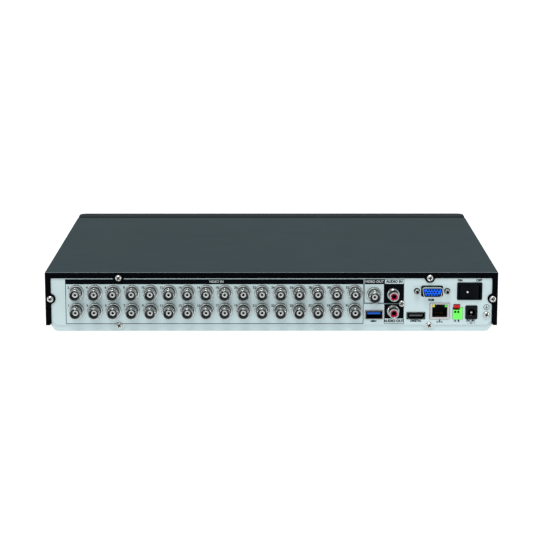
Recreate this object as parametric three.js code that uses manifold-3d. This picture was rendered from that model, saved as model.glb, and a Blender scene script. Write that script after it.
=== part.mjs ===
// Network video recorder in a low desktop case: thirty-two coaxial camera inputs and the other
// sockets on the rear plate, a folded steel cover over a bevelled steel tray, a moulded front bezel,
// and the board, drives, fan and leads inside. Millimetres, +Z up.
// The rear plate faces -Y. The origin is under the middle of the whole object, on the surface
// that the four rubber feet stand on.
import * as THREE from "three";
import { mergeVertices } from "three/addons/utils/BufferGeometryUtils.js";
import Module from "manifold-3d";

const wasm = await Module();
wasm.setup();

// ---------------------------------------------------------------- driving dimensions

const WIDTH = 375;
const BODY_DEPTH = 287; // rear plate to the front of the bezel
const BODY_HEIGHT = 50.2; // underside of the tray to the top of the cover
const FOOT_HEIGHT = 2.8;

const SHEET = 1.0; // steel sheet of the cover, tray and rear plate
const SEAT_GAP = 0.1; // between pieces that rest on each other
const FIT_GAP = 0.3; // around a piece that passes through or slides into another
const ROUND = 12; // sides of a small round piece
const EYELET = 8; // sides of a screw hole or other small round
const PIN_SIDES = 6; // sides of the smallest ones

// cover
const COVER_BEND = 1.5;
const TOP_FLANGE = 5.0; // rear flange of the cover, seen from behind
const SIDE_FLANGE = 4.8;
const SKIRT_LIFT = 5.4; // the cover's sides end this far above the tray's underside
const EAR_RADIUS = 4.2; // round tab around each cover screw
const EAR_INSET = 4.3; // screw centre from the cover's outer face

// tray
const TRAY_BEVEL_WIDTH = 6.6;
const TRAY_BEVEL_HEIGHT = 8.4;
const TRAY_RIM_WIDTH = 11; // rear and front rims that the plate and bezel are screwed to
const TRAY_HEADROOM = 3.0; // tray wall top to the cover's inside
const STANDOFF_HEIGHT = 7.6;
const STANDOFF_RADIUS = 2.6;
const BOSS_HEIGHT = 2.0; // raised pads under the drives
const BOSS_RADIUS = 4.0;

// vents in the cover's and tray's sides
const VENT_COUNT = 12;
const VENT_PITCH = 5.2;
const VENT_WIDTH = 2.0;
const VENT_HEIGHT = 16;

// front bezel
const BEZEL_DEPTH = 26;
const BEZEL_WALL = 2.0;
const BEZEL_NECK_DEPTH = 8; // lowered band next to the cover
const BEZEL_NECK_STEP = 1.2;
const BEZEL_CORNER = 6;
const WINDOW_LENGTH = 96;
const WINDOW_HEIGHT = 9;
const WINDOW_THICKNESS = 1.6;
const WINDOW_INSET = 40; // from the bezel's end to the window's nearer end
const LIGHT_GAP = 4; // between the window and the lamps' board

// feet
const FOOT_RADIUS = 8;
const FOOT_INSET_X = 34;
const FOOT_INSET_Y = 36;

// screws, M3 pan head
const SCREW_RADIUS = 1.5;
const SCREW_LENGTH = 5;
const SCREW_HEAD_RADIUS = 2.8;
const SCREW_HEAD_HEIGHT = 1.9;
const SCREW_SLOT = 0.8;
const SCREW_SLOT_DEPTH = 1.0;

// boards
const BOARD_THICKNESS = 1.6;
const BOARD_DEPTH = 102;
const BOARD_SIDE_INSET = 15.5;
const BOARD_REAR_GAP = 3.2; // rear plate's outer face to the board's edge

// coaxial camera inputs
const BNC_COLUMNS = 16;
const BNC_PITCH_X = 15.4;
const BNC_PITCH_Z = 15.3;
const BNC_LOW_LIFT = 7.5; // lower row's axis above the board
const BNC_BANK_COLUMNS = 4;
const BNC_BLOCK_MARGIN = 7.3; // axis to the block's edge, above and beside
const BNC_BLOCK_DEPTH = 22;
const BNC_COLLAR_RADIUS = 6.2;
const BNC_COLLAR_REACH = 2.0;
const BNC_BARREL_RADIUS = 4.8;
const BNC_REACH = 13.5; // barrel's rim from the rear plate
const BNC_BORE_RADIUS = 4.05;
const BNC_BORE_DEPTH = 9;
const BNC_LUG_RADIUS = 1.0;
const BNC_LUG_REACH = 5.5; // lug's tip from the axis
const BNC_LUG_SETBACK = 4.6; // lug's axis behind the rim
const BNC_INSULATOR_RADIUS = 2.4;
const BNC_INSULATOR_SETBACK = 3.2;
const BNC_CONTACT_RADIUS = 0.9;
const BNC_CONTACT_DEPTH = 4;
const INSULATOR_COMB_THICKNESS = 2;

// where the ports stand: each one's distance from its neighbour on the left
const FIRST_COLUMN_INSET = 25.7; // from the case's left side
const VIDEO_OUT_STEP = 15.9; // after the last column
const AUDIO_STEP = 15.8;
const DIGITAL_STEP = 19.0;
const VGA_STEP = 13.1;
const LAN_STEP = 19.7; // after the digital video socket, below the VGA one
const TERMINAL_STEP = 14.9;
const DC_STEP = 11.4;
const SWITCH_STEP = -1.8; // above the power inlet
const GROUND_STEP = 12.5; // after the power inlet

// heights of the ports' centres above the board
const VIDEO_OUT_LIFT = 20.9;
const AUDIO_LOW_LIFT = 7.2;
const AUDIO_PITCH_Z = 14.1;
const AUDIO_SCREW_LIFT = 13.4;
const VGA_LIFT = 23.8;
const SWITCH_LIFT = 23.8;
const GROUND_LIFT = 3.8;
const PANEL_SCREW_LIFT = 5.1; // lower plate screws above the tray's underside
const TOP_SCREW_DROP = 4.7; // top cover screws below the cover's top
const LEFT_SCREW_INSET = 60.9; // top and lower screws from the case's left side
const RIGHT_SCREW_INSET = 56.5; // and from its right side

// phono jacks
const PHONO_FLANGE_RADIUS = 5.2;
const PHONO_FLANGE_REACH = 1.6;
const PHONO_COLLAR_RADIUS = 4.15;
const PHONO_REACH = 11.5;
const PHONO_INNER_RADIUS = 3.3;
const PHONO_HOLE_RADIUS = 1.6;
const PHONO_BORE_DEPTH = 9;
const PHONO_BLOCK_WIDTH = 16;
const PHONO_BLOCK_DEPTH = 12;
const PHONO_SCREW_STEP = 7.1; // screw axis to the right of the jacks
const PHONO_EAR = 1.4; // housing beyond that screw's hole

// box-shaped sockets: outer width and height of the shell, its wall and its depths
const USB = { width: 14.6, height: 7.4, wall: 0.6, depth: 17, reach: 0.8 };
const USB_TONGUE = { width: 11.2, height: 1.9, lift: 1.0, setback: 1.2 };
const DIGITAL = { width: 15.2, height: 5.8, wall: 0.6, depth: 11.5, reach: 0.8, chamfer: 1.7 };
const DIGITAL_TONGUE = { width: 11.4, height: 1.5, setback: 1.0 };
const LAN = { width: 16.2, height: 13.6, wall: 0.5, depth: 21, reach: 0.6 };
const LAN_CAVITY = { width: 11.9, height: 7.4, depth: 13, floor: 1.7 };
const LAN_LATCH = { width: 6.2, height: 2.4 };
const SOCKET_BACK = 2.0; // plastic behind a socket's cavity

// D-shaped monitor socket
const VGA = { topWidth: 16.8, height: 8.2, lean: 0.9, wall: 0.6, reach: 5.8 };
const VGA_FLANGE = { width: 31, height: 12.4, thickness: 1.0 };
const VGA_BLOCK = { width: 30, height: 11 };
const VGA_LEG = { width: 5.2, depth: 4, inset: 5.8 }; // passes behind the digital video socket
const JACKSCREW_SPACING = 25;
const JACKSCREW_RADIUS = 2.4; // across the hexagon's corners
const JACKSCREW_REACH = 4.8;
const JACKSCREW_BORE = 1.2;

// terminal block for the control line
const TERMINAL = { width: 7.9, height: 9.8, depth: 12, reach: 1.0 };
const TERMINAL_PITCH = 2.54;
const TERMINAL_FIRST_POLE = 1.9; // first wire hole from the block's left side
const TERMINAL_HOLE_RADIUS = 1.0;
const TERMINAL_HOLE_DROP = 3.6; // wire holes below the block's top
const TERMINAL_NOTCH = { height: 1.9, depth: 8.2 };
const LEVER = { width: 2.3, height: 4.2, reach: 1.5, clearance: 0.25 };
const LEVER_FOOT_CUT = 1.7; // the lever's front underside is cut away to leave it room to tip

// power inlet
const DC = { width: 9.7, height: 11.4, depth: 14, reach: 1.0, corner: 1.4 };
const DC_BORE_RADIUS = 3.2;
const DC_BORE_DEPTH = 9.5;
const DC_PIN_RADIUS = 1.0;
const DC_PIN_SETBACK = 1.0;

// rocker switch
const SWITCH = { width: 21, height: 15, lip: 2.0, bodyWidth: 18.9, bodyHeight: 12.8, depth: 17 };
const ROCKER_RADIUS = 8.5; // the rocker's ends move on this circle about its pivot
const ROCKER_HEIGHT = 11.2;
const ROCKER_PIVOT_DEPTH = 1.5; // pivot behind the plate's outer face
const ROCKER_TILT = (10 * Math.PI) / 180; // each side of the middle
const ROCKER_WELL_DEPTH = 8;

// drives, fan and heat sink
const DRIVE = { width: 101.6, depth: 147, height: 26.1 };
const DRIVE_SIDE_GAP = 26; // tray wall to the first drive
const DRIVE_SPACING = 18; // between the drives
const DRIVE_FRONT_GAP = 4; // drive to the tray's front wall
const DRIVE_BOSS_INSET = 14;
const FAN = { size: 40, thickness: 10, hole: 18.6, strutWidth: 2.4, strutThickness: 1.6 };
const FAN_MOTOR_RADIUS = 9;
const FAN_ROTOR_RADIUS = 17.8;
const FAN_HUB_RADIUS = 9.5;
const FAN_BLADES = 7;
const FAN_BLADE_TWIST = (38 * Math.PI) / 180;
const FAN_FLOOR_GAP = 1.0;
const FAN_TAB_WIDTH = 7; // tabs folded up from the tray, that the fan is screwed to
const HEATSINK = { width: 44, depth: 44, height: 13, base: 3, fin: 1.2, fins: 9 };

// leads inside the case
const LEAD = { width: 8, thickness: 1.4, steps: 14 };
const RIBBON = { width: 16, thickness: 1.2, steps: 24 };
const PLUG = { width: 12, depth: 5, height: 7 }; // moulded end that stands on the main board
const DRIVE_PLUG = { width: 36, depth: 6, height: 3.6 };
const DRIVE_PLUG_STEP = 31; // its middle from the drive's left side
const LEAD_ARCH = 10; // a lead's highest point above the board
const RIBBON_STEP = 13; // from the audio jacks' axis
const PASSAGE = { width: 22, height: 6 }; // for the ribbon, through the tray's front wall

// ---------------------------------------------------------------- places worked out from them

const BASE_Z = FOOT_HEIGHT;
const TOP_Z = BASE_Z + BODY_HEIGHT;
const PANEL_Y = BNC_REACH - (BODY_DEPTH + BNC_REACH) / 2; // outer face of the rear plate
const FRONT_Y = PANEL_Y + BODY_DEPTH;
const COVER_REAR_Y = PANEL_Y - SEAT_GAP - SHEET;
const COVER_FRONT_Y = FRONT_Y - BEZEL_DEPTH;
const TRAY_REAR_Y = PANEL_Y + SHEET + SEAT_GAP;
const TRAY_FRONT_Y = COVER_FRONT_Y - SEAT_GAP;
const COVER_HALF = WIDTH / 2;
const TRAY_HALF = COVER_HALF - SHEET - FIT_GAP;
const SKIRT_Z = BASE_Z + SKIRT_LIFT;
const TRAY_TOP_Z = TOP_Z - SHEET - TRAY_HEADROOM;
const FLOOR_Z = BASE_Z + SHEET; // upper face of the tray's bottom
const BOARD_BOTTOM_Z = FLOOR_Z + STANDOFF_HEIGHT + SEAT_GAP;
const BOARD_Z = BOARD_BOTTOM_Z + BOARD_THICKNESS;
const PORT_Z = BOARD_Z + SEAT_GAP; // underside of what is soldered to the board
const BEHIND_PANEL_Y = PANEL_Y + SHEET + SEAT_GAP;
const RIM_TOP_Z = BOARD_BOTTOM_Z - SEAT_GAP; // rear rim of the tray, below the board
const BOARD_REAR_Y = PANEL_Y + BOARD_REAR_GAP;
const BOARD_HALF = COVER_HALF - BOARD_SIDE_INSET;

const FIRST_COLUMN_X = -COVER_HALF + FIRST_COLUMN_INSET;
const LAST_COLUMN_X = FIRST_COLUMN_X + (BNC_COLUMNS - 1) * BNC_PITCH_X;
const VIDEO_OUT_X = LAST_COLUMN_X + VIDEO_OUT_STEP;
const AUDIO_X = VIDEO_OUT_X + AUDIO_STEP;
const DIGITAL_X = AUDIO_X + DIGITAL_STEP;
const VGA_X = DIGITAL_X + VGA_STEP;
const LAN_X = DIGITAL_X + LAN_STEP;
const TERMINAL_X = LAN_X + TERMINAL_STEP;
const DC_X = TERMINAL_X + DC_STEP;
const SWITCH_X = DC_X + SWITCH_STEP;
const GROUND_X = DC_X + GROUND_STEP;
const AUDIO_SCREW_X = AUDIO_X + PHONO_SCREW_STEP;
const LEFT_SCREW_X = -COVER_HALF + LEFT_SCREW_INSET;
const RIGHT_SCREW_X = COVER_HALF - RIGHT_SCREW_INSET;
const SIDE_SCREW_X = COVER_HALF - EAR_INSET;

const BNC_LOW_Z = BOARD_Z + BNC_LOW_LIFT;
const VIDEO_OUT_Z = BOARD_Z + VIDEO_OUT_LIFT;
const AUDIO_LOW_Z = BOARD_Z + AUDIO_LOW_LIFT;
const AUDIO_SCREW_Z = BOARD_Z + AUDIO_SCREW_LIFT;
const USB_Z = PORT_Z + USB.height / 2;
const DIGITAL_Z = PORT_Z + DIGITAL.height / 2;
const LAN_Z = PORT_Z + LAN.height / 2;
const TERMINAL_Z = PORT_Z + TERMINAL.height / 2;
const DC_Z = PORT_Z + DC.height / 2;
const VGA_Z = BOARD_Z + VGA_LIFT;
const SWITCH_Z = BOARD_Z + SWITCH_LIFT;
const GROUND_Z = BOARD_Z + GROUND_LIFT;
const PANEL_SCREW_Z = BASE_Z + PANEL_SCREW_LIFT;
const TOP_SCREW_Z = TOP_Z - TOP_SCREW_DROP;
const SIDE_SCREW_Z = (SKIRT_Z + TOP_Z) / 2;
const SCREW_HOLE_RADIUS = SCREW_RADIUS + FIT_GAP;

const DRIVE_Z = FLOOR_Z + BOSS_HEIGHT + SEAT_GAP;
const DRIVE_X = [0, 1].map(
  (n) => -TRAY_HALF + SHEET + DRIVE_SIDE_GAP + DRIVE.width / 2 + n * (DRIVE.width + DRIVE_SPACING),
);
const DRIVE_Y = TRAY_FRONT_Y - SHEET - DRIVE_FRONT_GAP - DRIVE.depth / 2;
const FAN_TAB_X = TRAY_HALF - TRAY_BEVEL_WIDTH - 2 * SHEET; // inner face of the fan's tabs
const FAN_X = FAN_TAB_X - SEAT_GAP - FAN.thickness / 2;
const FAN_Y = DRIVE_Y;
const FAN_Z = FLOOR_Z + FAN_FLOOR_GAP + FAN.size / 2;
const WINDOW_X = COVER_HALF - WINDOW_INSET - WINDOW_LENGTH / 2;
const WINDOW_Z = BASE_Z + BODY_HEIGHT / 2;
const FRONT_USB_X = -COVER_HALF + WINDOW_INSET;
const RIBBON_X = AUDIO_X - RIBBON_STEP;
const INDICATOR_BOARD_Y = FRONT_Y - SEAT_GAP - WINDOW_THICKNESS - LIGHT_GAP - BOARD_THICKNESS;

// ---------------------------------------------------------------- solid modelling helpers

// A closed three.js geometry as a manifold-3d solid.
function solid(geometry) {
  const bare = geometry.index ? geometry.toNonIndexed() : geometry.clone();
  bare.deleteAttribute("normal");
  bare.deleteAttribute("uv");
  const merged = mergeVertices(bare, 1e-4);
  return new wasm.Manifold(
    new wasm.Mesh({
      numProp: 3,
      vertProperties: merged.attributes.position.array,
      triVerts: new Uint32Array(merged.index.array),
    }),
  );
}

// The same solid as a flat-shaded three.js geometry.
function geometryOf(made) {
  const mesh = made.getMesh();
  const geometry = new THREE.BufferGeometry();
  geometry.setAttribute("position", new THREE.BufferAttribute(mesh.vertProperties, 3));
  geometry.setIndex(new THREE.BufferAttribute(mesh.triVerts, 1));
  const flat = geometry.toNonIndexed();
  flat.computeVertexNormals();
  return flat;
}

const joined = (...solids) => solids.reduce((sum, next) => sum.add(next));
const cut = (body, ...tools) => tools.reduce((left, tool) => left.subtract(tool), body);

// A box from its lowest and highest value along each axis.
function block(x0, x1, y0, y1, z0, z1) {
  const geometry = new THREE.BoxGeometry(x1 - x0, y1 - y0, z1 - z0);
  return solid(geometry.translate((x0 + x1) / 2, (y0 + y1) / 2, (z0 + z1) / 2));
}

// A box centred on x and z, from y0 to y1.
const bar = (width, height, y0, y1, x = 0, z = 0) =>
  block(x - width / 2, x + width / 2, y0, y1, z - height / 2, z + height / 2);

// A round bar along Y, from y0 to y1.
function rod(radius, y0, y1, x = 0, z = 0, sides = ROUND) {
  const geometry = new THREE.CylinderGeometry(radius, radius, y1 - y0, sides);
  return solid(geometry.translate(x, (y0 + y1) / 2, z));
}

// A round post along Z, from z0 to z1.
function post(radius, z0, z1, x = 0, y = 0, sides = ROUND) {
  const geometry = new THREE.CylinderGeometry(radius, radius, z1 - z0, sides);
  return solid(geometry.rotateX(Math.PI / 2).translate(x, y, (z0 + z1) / 2));
}

// An outline of [x, z] points, extruded along Y from y0 to y1.
function plate(points, y0, y1) {
  const shape = new THREE.Shape(points.map(([x, z]) => new THREE.Vector2(x, z)));
  const geometry = new THREE.ExtrudeGeometry(shape, { depth: y1 - y0, bevelEnabled: false });
  return solid(geometry.rotateX(Math.PI / 2).translate(0, y1, 0));
}

// An outline of [x, y] points, extruded along Z from z0 to z1.
function slab(points, z0, z1) {
  const shape = new THREE.Shape(points.map(([x, y]) => new THREE.Vector2(x, y)));
  const geometry = new THREE.ExtrudeGeometry(shape, { depth: z1 - z0, bevelEnabled: false });
  return solid(geometry.translate(0, 0, z0));
}

// Points of a quarter arc about [cx, cy], from angle a0, in steps.
function arc(cx, cy, radius, a0, steps = 3) {
  return Array.from({ length: steps + 1 }, (_, n) => {
    const angle = a0 + (n / steps) * (Math.PI / 2);
    return [cx + radius * Math.cos(angle), cy + radius * Math.sin(angle)];
  });
}

// Mirrors an outline's right half, listed upwards, into a whole one.
const mirrored = (half) => [...half, ...half.map(([x, z]) => [-x, z]).reverse()];

// A named mesh with its own material, in its place.
function piece(name, made, colour, roughness, metalness, place = [0, 0, 0]) {
  const material = new THREE.MeshStandardMaterial({ color: colour, roughness, metalness });
  const mesh = new THREE.Mesh(geometryOf(made), material);
  mesh.name = name;
  mesh.position.set(...place);
  return mesh;
}

// ---------------------------------------------------------------- colours

const BLACK_PAINT = 0x2b3336;
const ZINC_PLATE = 0xc3d6d7;
const BLACK_PLASTIC = 0x15181a;
const SMOKED = 0x0c0d10;
const NICKEL = 0xb9bec0;
const WHITE_PLASTIC = 0xe8ecec;
const RED_PLASTIC = 0xb3103f;
const USB_BLUE = 0x2a70d8;
const VGA_BLUE = 0x1f62e8;
const TERMINAL_GREEN = 0x60f94d;
const LEVER_RED = 0xc4202a;
const BOARD_GREEN = 0x1d5a38;
const RUBBER_BLACK = 0x1a1a1a;
const DRIVE_GREY = 0x8d9296;
const LEAD_BLACK = 0x202224;
const LEAD_GREY = 0x8a8d90;

// ---------------------------------------------------------------- case

// Half outline of the tray's section, shrunk by inset: the bottom, the bevel and the wall.
function trayHalf(inset, top) {
  const run = TRAY_BEVEL_WIDTH;
  const rise = TRAY_BEVEL_HEIGHT;
  const length = Math.hypot(run, rise);
  const startX = TRAY_HALF - run - (rise / length) * inset;
  const startZ = BASE_Z + (run / length) * inset;
  const bottom = BASE_Z + inset;
  const wall = TRAY_HALF - inset;
  return [
    [startX + ((bottom - startZ) / rise) * run, bottom],
    [wall, startZ + ((wall - startX) / run) * rise],
    [wall, top],
  ];
}

function ventCuts(z) {
  const first = FAN_Y - ((VENT_COUNT - 1) * VENT_PITCH) / 2;
  return Array.from({ length: VENT_COUNT }, (_, n) => {
    const y = first + n * VENT_PITCH;
    const side = [y - VENT_WIDTH / 2, y + VENT_WIDTH / 2, z - VENT_HEIGHT / 2, z + VENT_HEIGHT / 2];
    return block(-WIDTH, WIDTH, ...side);
  });
}

const COVER_SCREWS = [
  ["cover_screw_top_left", LEFT_SCREW_X, TOP_SCREW_Z],
  ["cover_screw_top_right", RIGHT_SCREW_X, TOP_SCREW_Z],
  ["cover_screw_side_left", -SIDE_SCREW_X, SIDE_SCREW_Z],
  ["cover_screw_side_right", SIDE_SCREW_X, SIDE_SCREW_Z],
];
const PANEL_SCREWS = [
  ["panel_screw_left", LEFT_SCREW_X, PANEL_SCREW_Z],
  ["panel_screw_right", RIGHT_SCREW_X, PANEL_SCREW_Z],
  ["audio_screw", AUDIO_SCREW_X, AUDIO_SCREW_Z],
  ["ground_screw", GROUND_X, GROUND_Z],
];

const screwHole = ([, x, z], y0, y1) => rod(SCREW_HOLE_RADIUS, y0, y1, x, z, EYELET);

function topCover() {
  const outer = COVER_HALF;
  const inner = COVER_HALF - SHEET;
  const outline = mirrored([
    [outer, SKIRT_Z],
    ...arc(outer - COVER_BEND, TOP_Z - COVER_BEND, COVER_BEND, 0),
  ]);
  const hollow = mirrored([
    [inner, SKIRT_Z - SHEET],
    [inner, TOP_Z - SHEET],
  ]);
  const shell = cut(
    plate(outline, COVER_REAR_Y, COVER_FRONT_Y),
    plate(hollow, COVER_REAR_Y + SHEET, COVER_FRONT_Y + SHEET),
  );
  const opening = block(
    -outer + SIDE_FLANGE,
    outer - SIDE_FLANGE,
    COVER_REAR_Y - SHEET,
    COVER_REAR_Y + 2 * SHEET,
    SKIRT_Z - SHEET,
    TOP_Z - TOP_FLANGE,
  );
  const ears = COVER_SCREWS.map(([, x, z]) =>
    rod(EAR_RADIUS, COVER_REAR_Y, COVER_REAR_Y + SHEET, x, z, ROUND),
  );
  const holes = COVER_SCREWS.map((s) => screwHole(s, COVER_REAR_Y - 1, COVER_REAR_Y + 2 * SHEET));
  const vents = ventCuts((SKIRT_Z + TOP_Z) / 2);
  return cut(joined(cut(shell, opening), ...ears), ...holes, ...vents);
}

function baseTray() {
  const outline = mirrored(trayHalf(0, TRAY_TOP_Z));
  const inside = mirrored(trayHalf(SHEET, TRAY_TOP_Z + SHEET));
  const box = cut(
    plate(outline, TRAY_REAR_Y, TRAY_FRONT_Y),
    plate(inside, TRAY_REAR_Y + SHEET, TRAY_FRONT_Y - SHEET),
  );
  const rearWindow = block(
    -TRAY_HALF + TRAY_RIM_WIDTH,
    TRAY_HALF - TRAY_RIM_WIDTH,
    TRAY_REAR_Y - SHEET,
    TRAY_REAR_Y + 2 * SHEET,
    RIM_TOP_Z,
    TOP_Z,
  );
  const passage = bar(
    PASSAGE.width,
    PASSAGE.height,
    TRAY_FRONT_Y - 2 * SHEET,
    TRAY_FRONT_Y + SHEET,
    RIBBON_X,
    WINDOW_Z,
  );
  const screws = [...COVER_SCREWS.slice(2), ...PANEL_SCREWS.slice(0, 2), PANEL_SCREWS[3]];
  const holes = screws.map((s) => screwHole(s, TRAY_REAR_Y - SHEET, TRAY_REAR_Y + 2 * SHEET));
  const tabs = [-1, 1].map((side) => {
    const middle = FAN_Y + side * (FAN.size / 2 - FAN_TAB_WIDTH / 2);
    const [y0, y1] = [middle - FAN_TAB_WIDTH / 2, middle + FAN_TAB_WIDTH / 2];
    return block(FAN_TAB_X, FAN_TAB_X + SHEET, y0, y1, BASE_Z + SHEET / 2, FAN_Z + FAN.size / 2);
  });
  const standoffTop = BOARD_BOTTOM_Z - SEAT_GAP;
  const standoffs = [-1, 0, 1].flatMap((column) =>
    [0.12, 0.9].map((row) =>
      post(
        STANDOFF_RADIUS,
        BASE_Z + SHEET / 2,
        standoffTop,
        column * (BOARD_HALF - 8),
        BOARD_REAR_Y + row * BOARD_DEPTH,
        6,
      ),
    ),
  );
  const bosses = DRIVE_X.flatMap((x) =>
    [-1, 1].flatMap((sx) =>
      [-1, 1].map((sy) =>
        post(
          BOSS_RADIUS,
          BASE_Z + SHEET / 2,
          FLOOR_Z + BOSS_HEIGHT,
          x + sx * (DRIVE.width / 2 - DRIVE_BOSS_INSET),
          DRIVE_Y + sy * (DRIVE.depth / 2 - DRIVE_BOSS_INSET),
          EYELET,
        ),
      ),
    ),
  );
  const vents = ventCuts((SKIRT_Z + TOP_Z) / 2);
  const shell = cut(box, rearWindow, passage, ...holes, ...vents);
  return joined(shell, ...standoffs, ...bosses, ...tabs);
}

function rearPanel() {
  const half = TRAY_HALF - SHEET;
  const y0 = PANEL_Y;
  const y1 = PANEL_Y + SHEET;
  const bottom = SKIRT_Z + SEAT_GAP;
  const outline = mirrored([
    [half - TRAY_BEVEL_WIDTH, bottom],
    [half, bottom + (TRAY_BEVEL_WIDTH * TRAY_BEVEL_HEIGHT) / (TRAY_BEVEL_WIDTH + SIDE_FLANGE)],
    [half, TOP_Z - 2 * SHEET],
  ]);
  const ears = PANEL_SCREWS.slice(0, 2).map(([, x, z]) => rod(EAR_RADIUS, y0, y1, x, z));
  const through = [y0 - SHEET, y1 + SHEET];
  const ring = (radius, x, z) => rod(radius + FIT_GAP, ...through, x, z);
  const slot = (socket, x, z) =>
    bar(socket.width + 2 * FIT_GAP, socket.height + 2 * FIT_GAP, ...through, x, z);
  const inputs = Array.from({ length: BNC_COLUMNS }, (_, column) =>
    [0, 1].map((row) =>
      ring(
        BNC_COLLAR_RADIUS,
        FIRST_COLUMN_X + column * BNC_PITCH_X,
        BNC_LOW_Z + row * BNC_PITCH_Z,
      ),
    ),
  ).flat();
  const leverHeadroom = LEVER.height - TERMINAL_NOTCH.height + LEVER.clearance;
  const leverReach = LEVER.width / 2 + FIT_GAP;
  const leverTop = TERMINAL_Z + TERMINAL.height / 2 + leverHeadroom + FIT_GAP;
  const openings = [
    ring(BNC_COLLAR_RADIUS, VIDEO_OUT_X, VIDEO_OUT_Z),
    ring(PHONO_FLANGE_RADIUS, AUDIO_X, AUDIO_LOW_Z),
    ring(PHONO_FLANGE_RADIUS, AUDIO_X, AUDIO_LOW_Z + AUDIO_PITCH_Z),
    slot(USB, VIDEO_OUT_X, USB_Z),
    slot(DIGITAL, DIGITAL_X, DIGITAL_Z),
    slot(LAN, LAN_X, LAN_Z),
    slot(DC, DC_X, DC_Z),
    slot({ width: SWITCH.bodyWidth, height: SWITCH.bodyHeight }, SWITCH_X, SWITCH_Z),
    slot(TERMINAL, TERMINAL_X, TERMINAL_Z),
    block(
      TERMINAL_X + POLE_X[0] - leverReach,
      TERMINAL_X + POLE_X[1] + leverReach,
      ...through,
      TERMINAL_Z,
      leverTop,
    ),
    slot({ width: VGA.topWidth, height: VGA.height }, VGA_X, VGA_Z),
    ring(JACKSCREW_RADIUS, VGA_X - JACKSCREW_SPACING / 2, VGA_Z),
    ring(JACKSCREW_RADIUS, VGA_X + JACKSCREW_SPACING / 2, VGA_Z),
  ];
  const holes = [...COVER_SCREWS, ...PANEL_SCREWS].map((s) => screwHole(s, ...through));
  const notches = [-1, 1].map((side) => {
    const [x0, x1] = [SIDE_SCREW_X, WIDTH].map((x) => side * x).sort((a, b) => a - b);
    const [z0, z1] = [SIDE_SCREW_Z - SCREW_HOLE_RADIUS, SIDE_SCREW_Z + SCREW_HOLE_RADIUS];
    return block(x0, x1, ...through, z0, z1);
  });
  const made = joined(plate(outline, y0, y1), ...ears);
  return cut(made, ...inputs, ...openings, ...holes, ...notches);
}

// A pan-head screw with its head's underside at y = 0 and the head towards -Y.
function screw() {
  const profile = [
    [0, -SCREW_HEAD_HEIGHT],
    [SCREW_HEAD_RADIUS * 0.6, -SCREW_HEAD_HEIGHT],
    [SCREW_HEAD_RADIUS * 0.92, -SCREW_HEAD_HEIGHT * 0.7],
    [SCREW_HEAD_RADIUS, 0],
    [SCREW_RADIUS, 0],
    [SCREW_RADIUS, SCREW_LENGTH],
    [0, SCREW_LENGTH],
  ];
  const lathe = new THREE.LatheGeometry(
    profile.map(([r, y]) => new THREE.Vector2(r, y)),
    EYELET,
  );
  const slotLength = SCREW_HEAD_RADIUS * 1.3;
  const y1 = -SCREW_HEAD_HEIGHT + SCREW_SLOT_DEPTH;
  const y0 = -SCREW_HEAD_HEIGHT - 1;
  return cut(
    solid(lathe),
    bar(slotLength, SCREW_SLOT, y0, y1),
    bar(SCREW_SLOT, slotLength, y0, y1),
  );
}

function foot() {
  const profile = [
    [0, 0],
    [FOOT_RADIUS - 0.8, 0],
    [FOOT_RADIUS, 0.8],
    [FOOT_RADIUS, FOOT_HEIGHT - SEAT_GAP],
    [0, FOOT_HEIGHT - SEAT_GAP],
  ];
  const lathe = new THREE.LatheGeometry(
    profile.map(([r, z]) => new THREE.Vector2(r, z)),
    16,
  );
  return solid(lathe.rotateX(Math.PI / 2));
}

// Plan outline of the bezel, square at the cover and rounded at the front.
function bezelOutline(inset, y0) {
  const x = COVER_HALF - inset;
  const y = FRONT_Y - inset;
  const radius = BEZEL_CORNER - inset;
  const half = [[x, y0], ...arc(x - radius, y - radius, radius, 0, 4)];
  return [...half, ...half.map(([px, py]) => [-px, py]).reverse()];
}

function frontBezel() {
  const rear = COVER_FRONT_Y + SEAT_GAP;
  const shoulder = rear + BEZEL_NECK_DEPTH;
  const neck = slab(bezelOutline(BEZEL_NECK_STEP, rear), SKIRT_Z, TOP_Z - BEZEL_NECK_STEP);
  const head = slab(bezelOutline(0, shoulder), BASE_Z, TOP_Z);
  const inside = slab(
    bezelOutline(BEZEL_WALL + BEZEL_NECK_STEP, rear - 1),
    SKIRT_Z + BEZEL_WALL,
    TOP_Z - BEZEL_NECK_STEP - BEZEL_WALL,
  );
  const through = [FRONT_Y - 3 * BEZEL_WALL, FRONT_Y + 1];
  const window = bar(
    WINDOW_LENGTH + 2 * FIT_GAP,
    WINDOW_HEIGHT + 2 * FIT_GAP,
    ...through,
    WINDOW_X,
    WINDOW_Z,
  );
  const usb = bar(
    USB.width + 2 * FIT_GAP,
    USB.height + 2 * FIT_GAP,
    ...through,
    FRONT_USB_X,
    WINDOW_Z,
  );
  return cut(joined(neck, head), inside, window, usb);
}

// ---------------------------------------------------------------- coaxial sockets

// One coaxial socket's metal front, on its own axis with y = 0 at the rear plate.
function bncFront(x, z) {
  const lugY = -BNC_REACH + BNC_LUG_SETBACK;
  return joined(
    rod(BNC_COLLAR_RADIUS, -BNC_COLLAR_REACH, SHEET + 1, x, z),
    rod(BNC_BARREL_RADIUS, -BNC_REACH, 0, x, z),
    post(BNC_LUG_RADIUS, z - BNC_LUG_REACH, z + BNC_LUG_REACH, x, lugY, 4),
  );
}

// What is taken out of it: the mating bore and the passage for the insulator.
function bncBore(x, z, depth) {
  const bore = rod(BNC_BORE_RADIUS, -BNC_REACH - 1, -BNC_REACH + BNC_BORE_DEPTH, x, z);
  const passage = rod(BNC_INSULATOR_RADIUS + FIT_GAP, -BNC_REACH, depth + 1, x, z, PIN_SIDES);
  return joined(bore, passage);
}

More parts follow.
